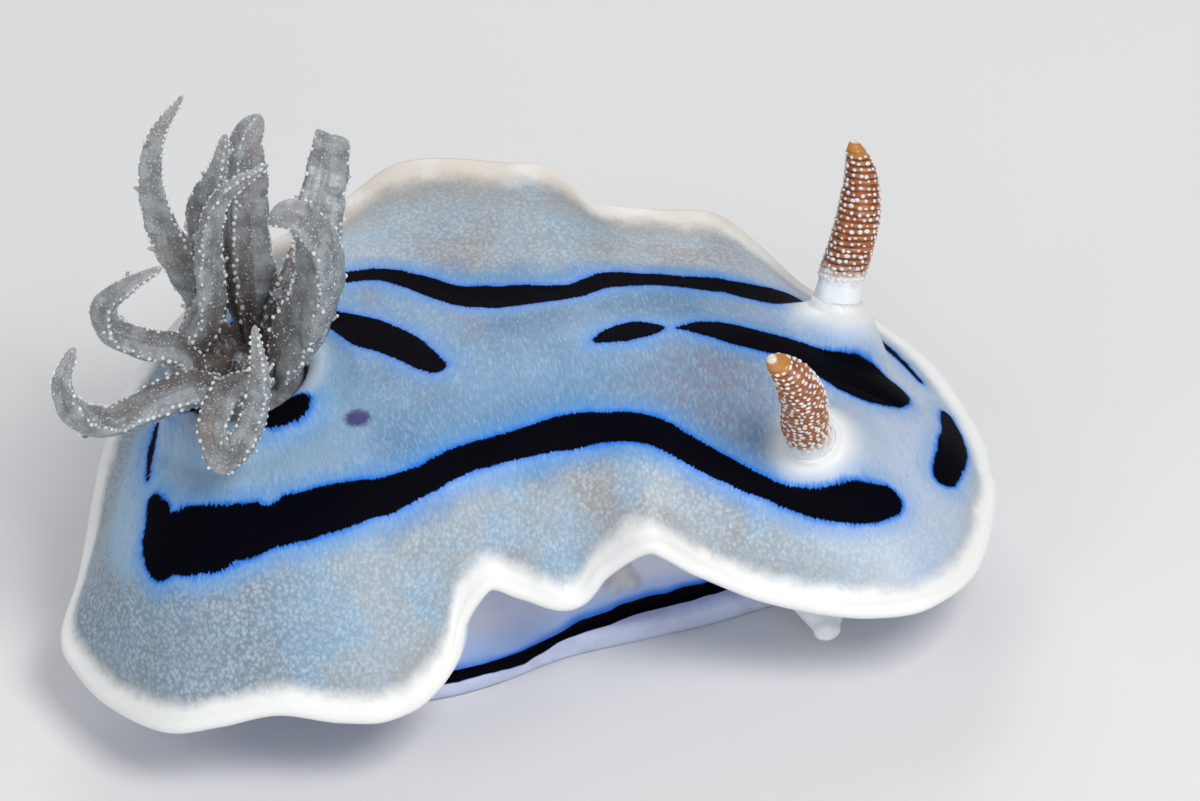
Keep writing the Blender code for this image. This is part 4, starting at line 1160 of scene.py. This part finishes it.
def make_rhinophores(places, material):
    """Each rhinophore: a stalk that rises from its sheath, and a club of lamellae with white dots."""
    forward, _ = head_directions()
    bend = np.array(RHINOPHORE_BEND)
    dot = bead_shape(2)
    start = GAP - SHEATH_DEPTH
    neck = start + RHINOPHORE_LENGTH * STALK_SHARE
    club = RHINOPHORE_LENGTH * (1 - STALK_SHARE)
    stalk = np.linspace(start, neck, STALK_RINGS)[:-1]
    along = np.concatenate([stalk, neck + club * np.linspace(0, 0.985, CLUB_RINGS)])
    for name, (origin, axis) in places.items():
        draw = random.Random(len(name))
        side, other = frame_about(axis)
        angles, spokes = ring_spokes(RHINOPHORE_AROUND, side, other)

        def centre(s):
            s = np.atleast_1d(s)
            return origin + s[:, None] * axis + smooth(bend[:, 0], bend[:, 1:], s) * forward

        def add_dot(t, s, outward, reach, sizes):
            axes = (np.cross(axis, outward), axis, outward)
            build.bead(dot, centre(s)[0] + outward * (club_radius(t) + reach), axes, sizes, height=t, dot=1.0)

        build = Build("height", "groove", "dot", "low")
        radius, height, groove = rhinophore_rings(name, along, start, neck, angles)
        rings = centre(along)[:, None, :] + radius[:, :, None] * spokes
        build.tube(rings, centre(start)[0], centre(neck + club)[0], height=height[:, None], groove=groove,
                   low=BROWN_FROM[name])
        for row in range(math.floor(BROWN_FROM[name] * LAMELLAE), LAMELLAE):
            t = (row + 0.5) / LAMELLAE
            if t > DOTS_END:
                continue
            around = TURN * (club_radius(t) + LAMELLA_DEPTH * 0.2)
            count = max(5, round(around / DOT_SPACING))
            turn = draw.random()
            for k in range(count):
                angle = (k + turn + draw.uniform(-0.22, 0.22)) * TURN / count
                slant = 0.3 * math.sin(angle * 2) * club / LAMELLAE / math.pi
                s = neck + club * t - slant + draw.uniform(-0.07, 0.07)
                size = draw.uniform(0.65, 1.15)
                wide = 0.12 * size * draw.uniform(0.8, 1.3)
                tall = 0.10 * size * draw.uniform(0.85, 1.2)
                add_dot(t, s, direction(angle, side, other), LAMELLA_DEPTH * 0.2 - 0.02, (wide, tall, 0.07))
        for k in range(REAR_DOTS):
            t = 0.06 + 0.84 * k / REAR_DOTS
            outward = unit(direction(0.25, -forward, draw.choice((-1, 1)) * np.cross(axis, forward)))
            outward = unit(outward - axis * (outward @ axis))
            add_dot(t, neck + club * t, outward, 0.01, (0.10, 0.10, 0.06))
        add_piece(f"rhinophore_{name}_skin", build.mesh("rhinophore"), material, "rhinophore",
                  f"rhinophore_{name}")


def rhinophore_material():
    """Orange brown between white dots, painted shade in the grooves, ochre under the white tip, a white
    stalk.
    """
    s = Shader("rhinophore")
    where = s.where()
    height = s.attribute("height")
    mottle = s.noise(where, 2.2 * PER_MM, 3.0)
    coarse = s.noise(where, 0.8 * PER_MM)
    fine = s.noise(where, 8.0 * PER_MM)
    # Painted shade: the grooves between the lamellae are darkened.
    groove = s.times(s.span(s.attribute("groove"), 0.3, 0.85), s.span(coarse, 0.35, 0.6, 0.25, 0.95))
    brown = s.mix(groove, s.mix(s.span(mottle, 0.35, 0.65), *CLUB_BROWN), CLUB_GROOVE_SHADE)
    tip = s.span(s.plus(height, s.times(mottle, 0.03)), 0.88, 0.93)
    colour = s.mix(tip, brown, CLUB_OCHRE)
    above = s.math("SUBTRACT", s.plus(height, s.centred(mottle, 0.26)), s.attribute("low"))
    stalk = s.mix(s.span(fine, 0.3, 0.7), *STALK_WHITE)
    colour = s.mix(s.below(above, -0.04, 0.12), colour, stalk)
    colour = s.mix(s.span(height, 0.972, 0.992), colour, CLUB_TIP)
    colour = s.mix(s.attribute("dot"), colour, CLUB_DOT)
    normal = s.bump(fine, 0.3, 0.02 * MM)
    return s.finish(colour, s.span(fine, 0.2, 0.8, 0.28, 0.42), normal, subsurface=0.15, coat=0.15)


def carried(points, first_axis, first_normal):
    """Tangents and normals along a path, carried without twist."""
    tangents = unit(np.gradient(points, axis=0))
    tangents[0] = unit(first_axis)
    normals = [first_normal]
    for tangent in tangents:
        normals.append(unit(normals[-1] - tangent * np.dot(normals[-1], tangent)))
    return tangents, np.array(normals[1:])


def path_points(rows, count):
    """Points spread evenly by length along a smooth curve through rows."""
    rows = np.array(rows, float)
    knots = run_along(rows)
    fine = smooth(knots, rows, np.linspace(0, knots[-1], 600))
    run = run_along(fine)
    even = np.linspace(0, run[-1], count)
    return np.stack([np.interp(even, run, fine[:, k]) for k in range(3)], axis=1), run[-1]


# The blade's cross section as bearing from the outer side and reach, over the half from outer to inner.
BLADE_BEARINGS = (0.0, 38.0, 68.0, 95.0, 125.0, 155.0, 180.0)
BLADE_REACH = (0.50, 0.74, 1.12, 0.76, 0.56, 0.70, 1.02)
EDGE_BEARING = 68.0
EDGE_SPREAD = 13.0
PLEAT_LENGTH = 0.36
BLADE_AROUND = 64
BLADE_RINGS = 260

# Beads and leaflets of the blades, each as least and most: the beads along the edges and the step
# between them, the leaflets' length and step, and the beads on the faces, with their number per mm.
EDGE_BEAD = (0.08, 0.13)
EDGE_BEAD_STEP = (0.27, 0.42)
LEAFLET_LENGTH = (0.25, 0.5)
LEAFLET_STEP = (2.2, 5.0)
FACE_BEAD = (0.02, 0.06)
FACE_BEADS_PER_MM = 30

# The base of the gills from its foot to its middle: height, share of the radius, how far it is lobed
# between the blades, and how brown it is.
GILL_BASE = (
    (-1.2, 0.97, 0.0, 0.0),
    (-0.6, 1.0, 0.1, 0.0),
    (-0.1, 1.0, 0.3, 0.0),
    (0.3, 0.93, 0.8, 0.1),
    (0.9, 0.86, 1.0, 0.3),
    (1.6, 0.88, 1.0, 0.5),
    (2.3, 0.92, 1.0, 0.7),
    (2.7, 0.92, 1.0, 0.8),
    (2.75, 0.87, 1.0, 0.9),
    (2.3, 0.82, 0.8, 1.0),
    (1.6, 0.74, 0.5, 1.0),
    (1.05, 0.55, 0.2, 1.0),
    (0.95, 0.36, 0.1, 1.0),
    (1.1, 0.22, 0.0, 0.8),
    (1.45, 0.15, 0.0, 0.5),
    (1.75, 0.12, 0.0, 0.3),
    (1.95, 0.07, 0.0, 0.2),
)
GILL_BASE_AROUND = 120
GILL_BASE_RINGS = 90
GILL_BASE_BEADS = 260
GILL_WEB = 0.35
WEB_FROM = 1.2


def make_gills(origin, axis, material):
    """The base in its pocket and the ten plumes: three-sided blades with pleated faces, leaflets along
    their edges and rows of white beads."""
    side = unit(np.array([axis[2], 0.0, -axis[0]]))
    other = np.cross(axis, side)
    flat = math.cos(math.pi / GILL_COUNT)
    for k, (width, end, rows) in enumerate(GILLS):
        outward = direction(k * TURN / GILL_COUNT, side, other)
        low = origin + axis * GILL_BASE_SHOULDER + outward * GILL_BASE_RADIUS * flat
        high = origin + axis * GILL_BASE_TOP + outward * GILL_BASE_INNER * flat
        slope = unit(high - low)
        facing = unit(np.cross(np.cross(slope, outward), slope))
        root = (low + high) / 2
        path = [root, root + facing * (GAP + GILL_NECK), *rows]
        mesh = make_plume(path, width, end, facing, outward, random.Random(k))
        add_piece(f"gill_{k + 1:02d}_plume", mesh, material, "gill", f"gill_{k + 1:02d}")

    angles, spokes = ring_spokes(GILL_BASE_AROUND, side, other)
    lobes = np.cos(angles * GILL_COUNT)
    rows = smooth(np.arange(len(GILL_BASE)), GILL_BASE, np.linspace(0, len(GILL_BASE) - 1, GILL_BASE_RINGS))
    rings = []
    for up, share, lobe, _ in rows:
        reach = GILL_BASE_RADIUS * share * (1 + 0.05 * lobe * lobes)
        height = up + GILL_WEB * lobe * (lobes - 1) * (up > WEB_FROM)
        rings.append(origin + height[:, None] * axis + reach[:, None] * spokes)
    build = Build("bead", "inner", "tip", "pleat")
    build.tube(np.array(rings), origin + axis * GILL_BASE[0][0], origin + axis * (GILL_BASE[-1][0] + 0.02),
               inner=rows[:, 3:], tip=0.1)
    draw = random.Random(GILL_COUNT)
    dot = bead_shape(1)
    for _ in range(GILL_BASE_BEADS):
        place = rings[draw.randrange(20, 86)][draw.randrange(GILL_BASE_AROUND)]
        build.bead(dot, place, (side, other, axis), [draw.uniform(0.03, 0.07)] * 3, bead=1.0)
    add_piece("gill_base_skin", build.mesh("gill_base"), material, "gill", "gill_base")


def make_plume(rows, width, end, facing, outward, draw):
    """One blade along a path as a mesh, with its leaflets and beads."""
    large, small = bead_shape(2), bead_shape(1)
    turns = np.arange(BLADE_AROUND) * TURN / BLADE_AROUND
    folded = np.degrees(np.minimum(turns, TURN - turns))
    reach = np.interp(folded, BLADE_BEARINGS, BLADE_REACH)
    edge = np.maximum(*(np.exp(-((folded - at) / EDGE_SPREAD) ** 2) for at in (EDGE_BEARING, 180)))
    points, length = path_points(rows, BLADE_RINGS)
    tangents, normals = carried(points, facing, outward)
    across = np.cross(tangents, normals)
    t = np.linspace(0, 1, BLADE_RINGS)
    s = t[:, None] * length
    size = width / 2 * np.minimum(1.0, 0.42 + 2.6 * t) * (1 - (1 - end) * t**3)
    cap = max(0.02, (1.0 + 2.5 * end) * size[-1] / length)
    size *= np.sqrt(np.clip(1 - (np.clip(t - 1 + cap, 0, cap) / cap) ** 2, 0.02, 1))
    phase = draw.uniform(0, 6)
    pleat = np.sin(TURN * s / PLEAT_LENGTH + phase)
    body = (ease(0.06, 0.2, t) * (1 - ease(0.9, 1.0, t)))[:, None]
    face = (1 - edge) * body
    wobble = 0.05 * np.sin(turns * 2 + s * 1.3 + phase) + 0.03 * np.sin(s * 4.1 + phase * 2)
    size = size[:, None]
    radius = size * (reach * (1 + wobble) + 0.003 * face * pleat)
    radius = radius + 0.01 * edge * pleat * body * np.minimum(size, 1)
    rings = points[:, None, :] + radius[:, :, None] * (
        np.cos(turns)[:, None] * normals[:, None, :] + np.sin(turns)[:, None] * across[:, None, :])
    build = Build("bead", "inner", "tip", "pleat")
    # The pleat value is largest in the pleats' troughs, where the material paints shade.
    build.tube(rings, points[0], points[-1] + tangents[-1] * 0.02, inner=ease(90, 150, folded),
               tip=t[:, None], pleat=face * (0.5 - 0.5 * pleat))

    def spot(place, turn, lift):
        """A point over the blade's surface, with the outward and forward directions there."""
        i = min(int(place * (BLADE_RINGS - 1)), BLADE_RINGS - 1)
        out = direction(turn, normals[i], across[i])
        reach = radius[i, int(turn / TURN * BLADE_AROUND) % BLADE_AROUND] + lift
        return points[i] + out * reach, out, tangents[i]

    def add_bead(place, turn, lift, sizes, shape):
        centre, out, ahead = spot(place, turn, lift)
        build.bead(shape, centre, (ahead, np.cross(out, ahead), out), sizes, bead=1.0, tip=place)

    def add_leaflet(place, turn, long):
        """A leaflet that leans to the blade's tip, with a white bead on its end."""
        foot, out, ahead = spot(place, turn, -0.05)
        lean = unit(out * 0.8 + ahead * 0.75)
        side = unit(np.cross(out, ahead))
        axes = (np.cross(side, lean), side, lean)
        build.bead(large, foot + lean * long * 0.45, axes, (0.11, 0.09, long * 0.62), bead=0.1, tip=place)
        build.bead(large, foot + lean * long, axes, [0.085] * 3, bead=1.0, tip=place)

    for turn in (math.radians(EDGE_BEARING), math.radians(360 - EDGE_BEARING), math.pi):
        place = 0.1 + draw.uniform(0, 0.03)
        while place < 0.985:
            scale = draw.uniform(*EDGE_BEAD) * (1 - 0.25 * place)
            aside = draw.uniform(-0.12, 0.12)
            add_bead(place, turn + aside, 0.02, (scale * draw.uniform(1, 1.3), scale, scale), large)
            place += draw.uniform(*EDGE_BEAD_STEP) / length
        place = 0.25 + draw.uniform(0, 0.1)
        while place < 0.9:
            aside = draw.uniform(-0.3, 0.3)
            add_leaflet(place, turn + aside, draw.uniform(*LEAFLET_LENGTH) * min(1.0, width / 2))
            place += draw.uniform(*LEAFLET_STEP) / length
    for _ in range(int(FACE_BEADS_PER_MM * length * max(1.0, width / 2))):
        scale = draw.uniform(*FACE_BEAD)
        add_bead(draw.uniform(0.08, 0.97), draw.uniform(0, TURN), -0.005, [scale] * 3, small)
    add_bead(0.985, 0.0, -0.02, [0.09] * 3, large)
    return build.mesh("gill")


def gill_material():
    """Clear grey flesh, brown inside the ring, painted shade in the pleats' troughs, with white beads."""
    s = Shader("gill")
    where = s.where()
    mottle = s.noise(where, 1.3 * PER_MM, 3.0)
    fine = s.noise(where, 7.0 * PER_MM)
    broad = s.noise(where, 0.5 * PER_MM)
    along = s.attribute("tip")
    flesh = s.mix(s.span(mottle, 0.35, 0.65), *GILL_FLESH)
    flesh = s.mix(s.times(s.attribute("inner"), 0.85, s.below(along, 0.12, 0.75)), flesh, GILL_BROWN)
    flesh = s.mix(s.times(s.span(broad, 0.5, 0.65), 0.45), flesh, GILL_WARM)
    # Painted shade: the troughs of the pleats are darkened.
    flesh = s.mix(s.times(s.attribute("pleat"), 0.16), flesh, GILL_PLEAT_SHADE)
    flesh = s.mix(s.times(s.span(along, 0.8, 1.0), 0.4), flesh, GILL_TIP)
    dust = s.below(s.cells(where, 5.5 * PER_MM), 0.08, 0.34)
    flesh = s.mix(s.times(dust, 0.6), flesh, GILL_DUST)
    colour = s.mix(s.attribute("bead"), flesh, GILL_BEAD)
    normal = s.bump(fine, 0.3, 0.025 * MM)
    return s.finish(colour, s.span(fine, 0.2, 0.8, 0.34, 0.5), normal, subsurface=0.5, coat=0.06, reach=1.5)


def make_tentacles(material):
    """Oral tentacles: blunt white cones that come out beside the mouth."""
    forward, left = head_directions()
    start = GAP + TENTACLE_BOSS
    profile = np.array((
        (-1.5, TENTACLE_ROOT * 1.4),
        (start, TENTACLE_ROOT * 1.3),
        (start + 0.8, TENTACLE_ROOT * 1.12),
        (start + 1.7, TENTACLE_ROOT * 0.88),
        (start + TENTACLE_LENGTH * 0.78, TENTACLE_TIP * 0.9),
        (start + TENTACLE_LENGTH * 0.94, TENTACLE_TIP * 0.6),
        (start + TENTACLE_LENGTH, 0.1),
    ))
    along = np.linspace(profile[0, 0], profile[-1, 0], TENTACLE_RINGS)[:, None]
    rows = smooth(profile[:, 0], profile[:, 1:], along[:, 0])
    ahead, aside, down = TENTACLE_AIM
    for name, sign in (("left", 1), ("right", -1)):
        axis = unit(ahead * forward + sign * aside * left - down * np.array([0, 0, 1.0]))
        origin = np.array(TENTACLE_MIDDLE) + sign * left * TENTACLE_SPREAD
        angles, spokes = ring_spokes(TENTACLE_AROUND, *frame_about(axis))
        fold = 1 + 0.008 * np.sin(along * 7 + sign) * np.cos(angles - 1) ** 2
        fold = fold + 0.015 * np.sin(angles * 3 + along * 1.4)
        rings = origin + along[:, :, None] * axis + (rows * fold)[:, :, None] * spokes
        build = Build("height")
        build.tube(rings, origin + along[0] * axis, origin + (along[-1] + 0.03) * axis, height=along)
        add_piece(f"oral_tentacle_{name}_skin", build.mesh("oral_tentacle"), material, "tentacle",
                  f"oral_tentacle_{name}")


def tentacle_material():
    """White, bluish at the root, with fine grain."""
    s = Shader("oral_tentacle")
    where = s.where()
    mottle = s.noise(where, 1.5 * PER_MM, 3.0)
    fine = s.noise(where, 8.0 * PER_MM)
    pale = s.mix(s.span(mottle, 0.35, 0.65), *TENTACLE_WHITE)
    colour = s.mix(s.below(s.attribute("height"), -0.5, 1.4), pale, WALL_LILAC)
    normal = s.bump(fine, 0.3, 0.02 * MM)
    return s.finish(colour, s.span(fine, 0.2, 0.8, 0.3, 0.42), normal, subsurface=0.2, coat=0.2)


def make_camera():
    """The photograph's camera, looking down on the right side of the animal."""
    azimuth, elevation, roll = (math.radians(a) for a in (CAMERA_AZIMUTH, CAMERA_ELEVATION, CAMERA_ROLL))
    back = np.array([math.sin(azimuth) * math.cos(elevation), -math.cos(azimuth) * math.cos(elevation),
                     math.sin(elevation)])
    right = np.array([math.cos(azimuth), math.sin(azimuth), 0.0])
    up = np.cross(back, right)
    right, up = math.cos(roll) * right - math.sin(roll) * up, math.sin(roll) * right + math.cos(roll) * up
    aside = (ORIGIN_PIXEL[0] - PICTURE[0] / 2) / PIXELS_PER_MM
    above = (PICTURE[1] / 2 - ORIGIN_PIXEL[1]) / PIXELS_PER_MM
    place = CAMERA_DISTANCE * back - aside * right - above * up
    data = bpy.data.cameras.new("camera")
    data.sensor_width = SENSOR_MM
    data.lens = SENSOR_MM * CAMERA_DISTANCE * PIXELS_PER_MM / PICTURE[0]
    data.clip_start = 0.01
    data.clip_end = 10.0
    camera = bpy.data.objects.new("camera", data)
    turned = Matrix((right, up, back)).transposed().to_4x4()
    camera.matrix_world = Matrix.Translation(Vector(place * MM)) @ turned
    bpy.context.scene.collection.objects.link(camera)
    bpy.context.scene.camera = camera


# The studio, in metres. The lights: place, size, power and colour, for a soft key from the head's side,
# a fill, a low light for the flank under the mantle and a light from behind. All look at one point.
LIGHTS = {
    "key": ((0.10, -0.16, 0.26), 0.12, 0.60, (1.0, 0.99, 0.97)),
    "fill": ((-0.22, -0.12, 0.18), 0.2, 0.18, (0.93, 0.96, 1.0)),
    "low": ((0.05, -0.26, 0.05), 0.16, 0.12, (0.96, 0.98, 1.0)),
    "back": ((0.02, 0.24, 0.16), 0.15, 0.22, (1.0, 1.0, 1.0)),
}
LIT_POINT = (0, 0, 0.008)
ROOM_COLOUR = (0.9, 0.93, 1.0, 1.0)
ROOM_STRENGTH = 0.28
FLOOR_REACH = 3.0


def make_light(name, place, size, power, colour):
    """A soft square light that looks at the animal."""
    data = bpy.data.lights.new(name, "AREA")
    data.size = size
    data.energy = power
    data.color = colour
    light = bpy.data.objects.new(name, data)
    light.location = place
    light.rotation_euler = (Vector(LIT_POINT) - Vector(place)).to_track_quat("-Z", "Y").to_euler()
    bpy.context.scene.collection.objects.link(light)


def make_studio():
    """A plain pale floor, the lights and a pale room."""
    mesh = bpy.data.meshes.new("floor")
    corners = [(x * FLOOR_REACH, y * FLOOR_REACH, 0) for x, y in ((-1, -1), (1, -1), (1, 1), (-1, 1))]
    mesh.from_pydata(corners, [], [(0, 1, 2, 3)])
    mesh.materials.append(floor_material())
    floor = bpy.data.objects.new("floor", mesh)
    bpy.context.scene.collection.objects.link(floor)
    for name, settings in LIGHTS.items():
        make_light(name, *settings)
    world = bpy.data.worlds.new("room")
    world.use_nodes = True
    background = world.node_tree.nodes["Background"]
    background.inputs["Color"].default_value = ROOM_COLOUR
    background.inputs["Strength"].default_value = ROOM_STRENGTH
    bpy.context.scene.world = world
    bpy.context.scene.view_settings.view_transform = "Standard"


make_camera()
make_studio()
rhinophores_at, gills_at, gills_axis = make_skin()
make_rhinophores(rhinophores_at, rhinophore_material())
make_gills(gills_at, gills_axis, gill_material())
make_tentacles(tentacle_material())
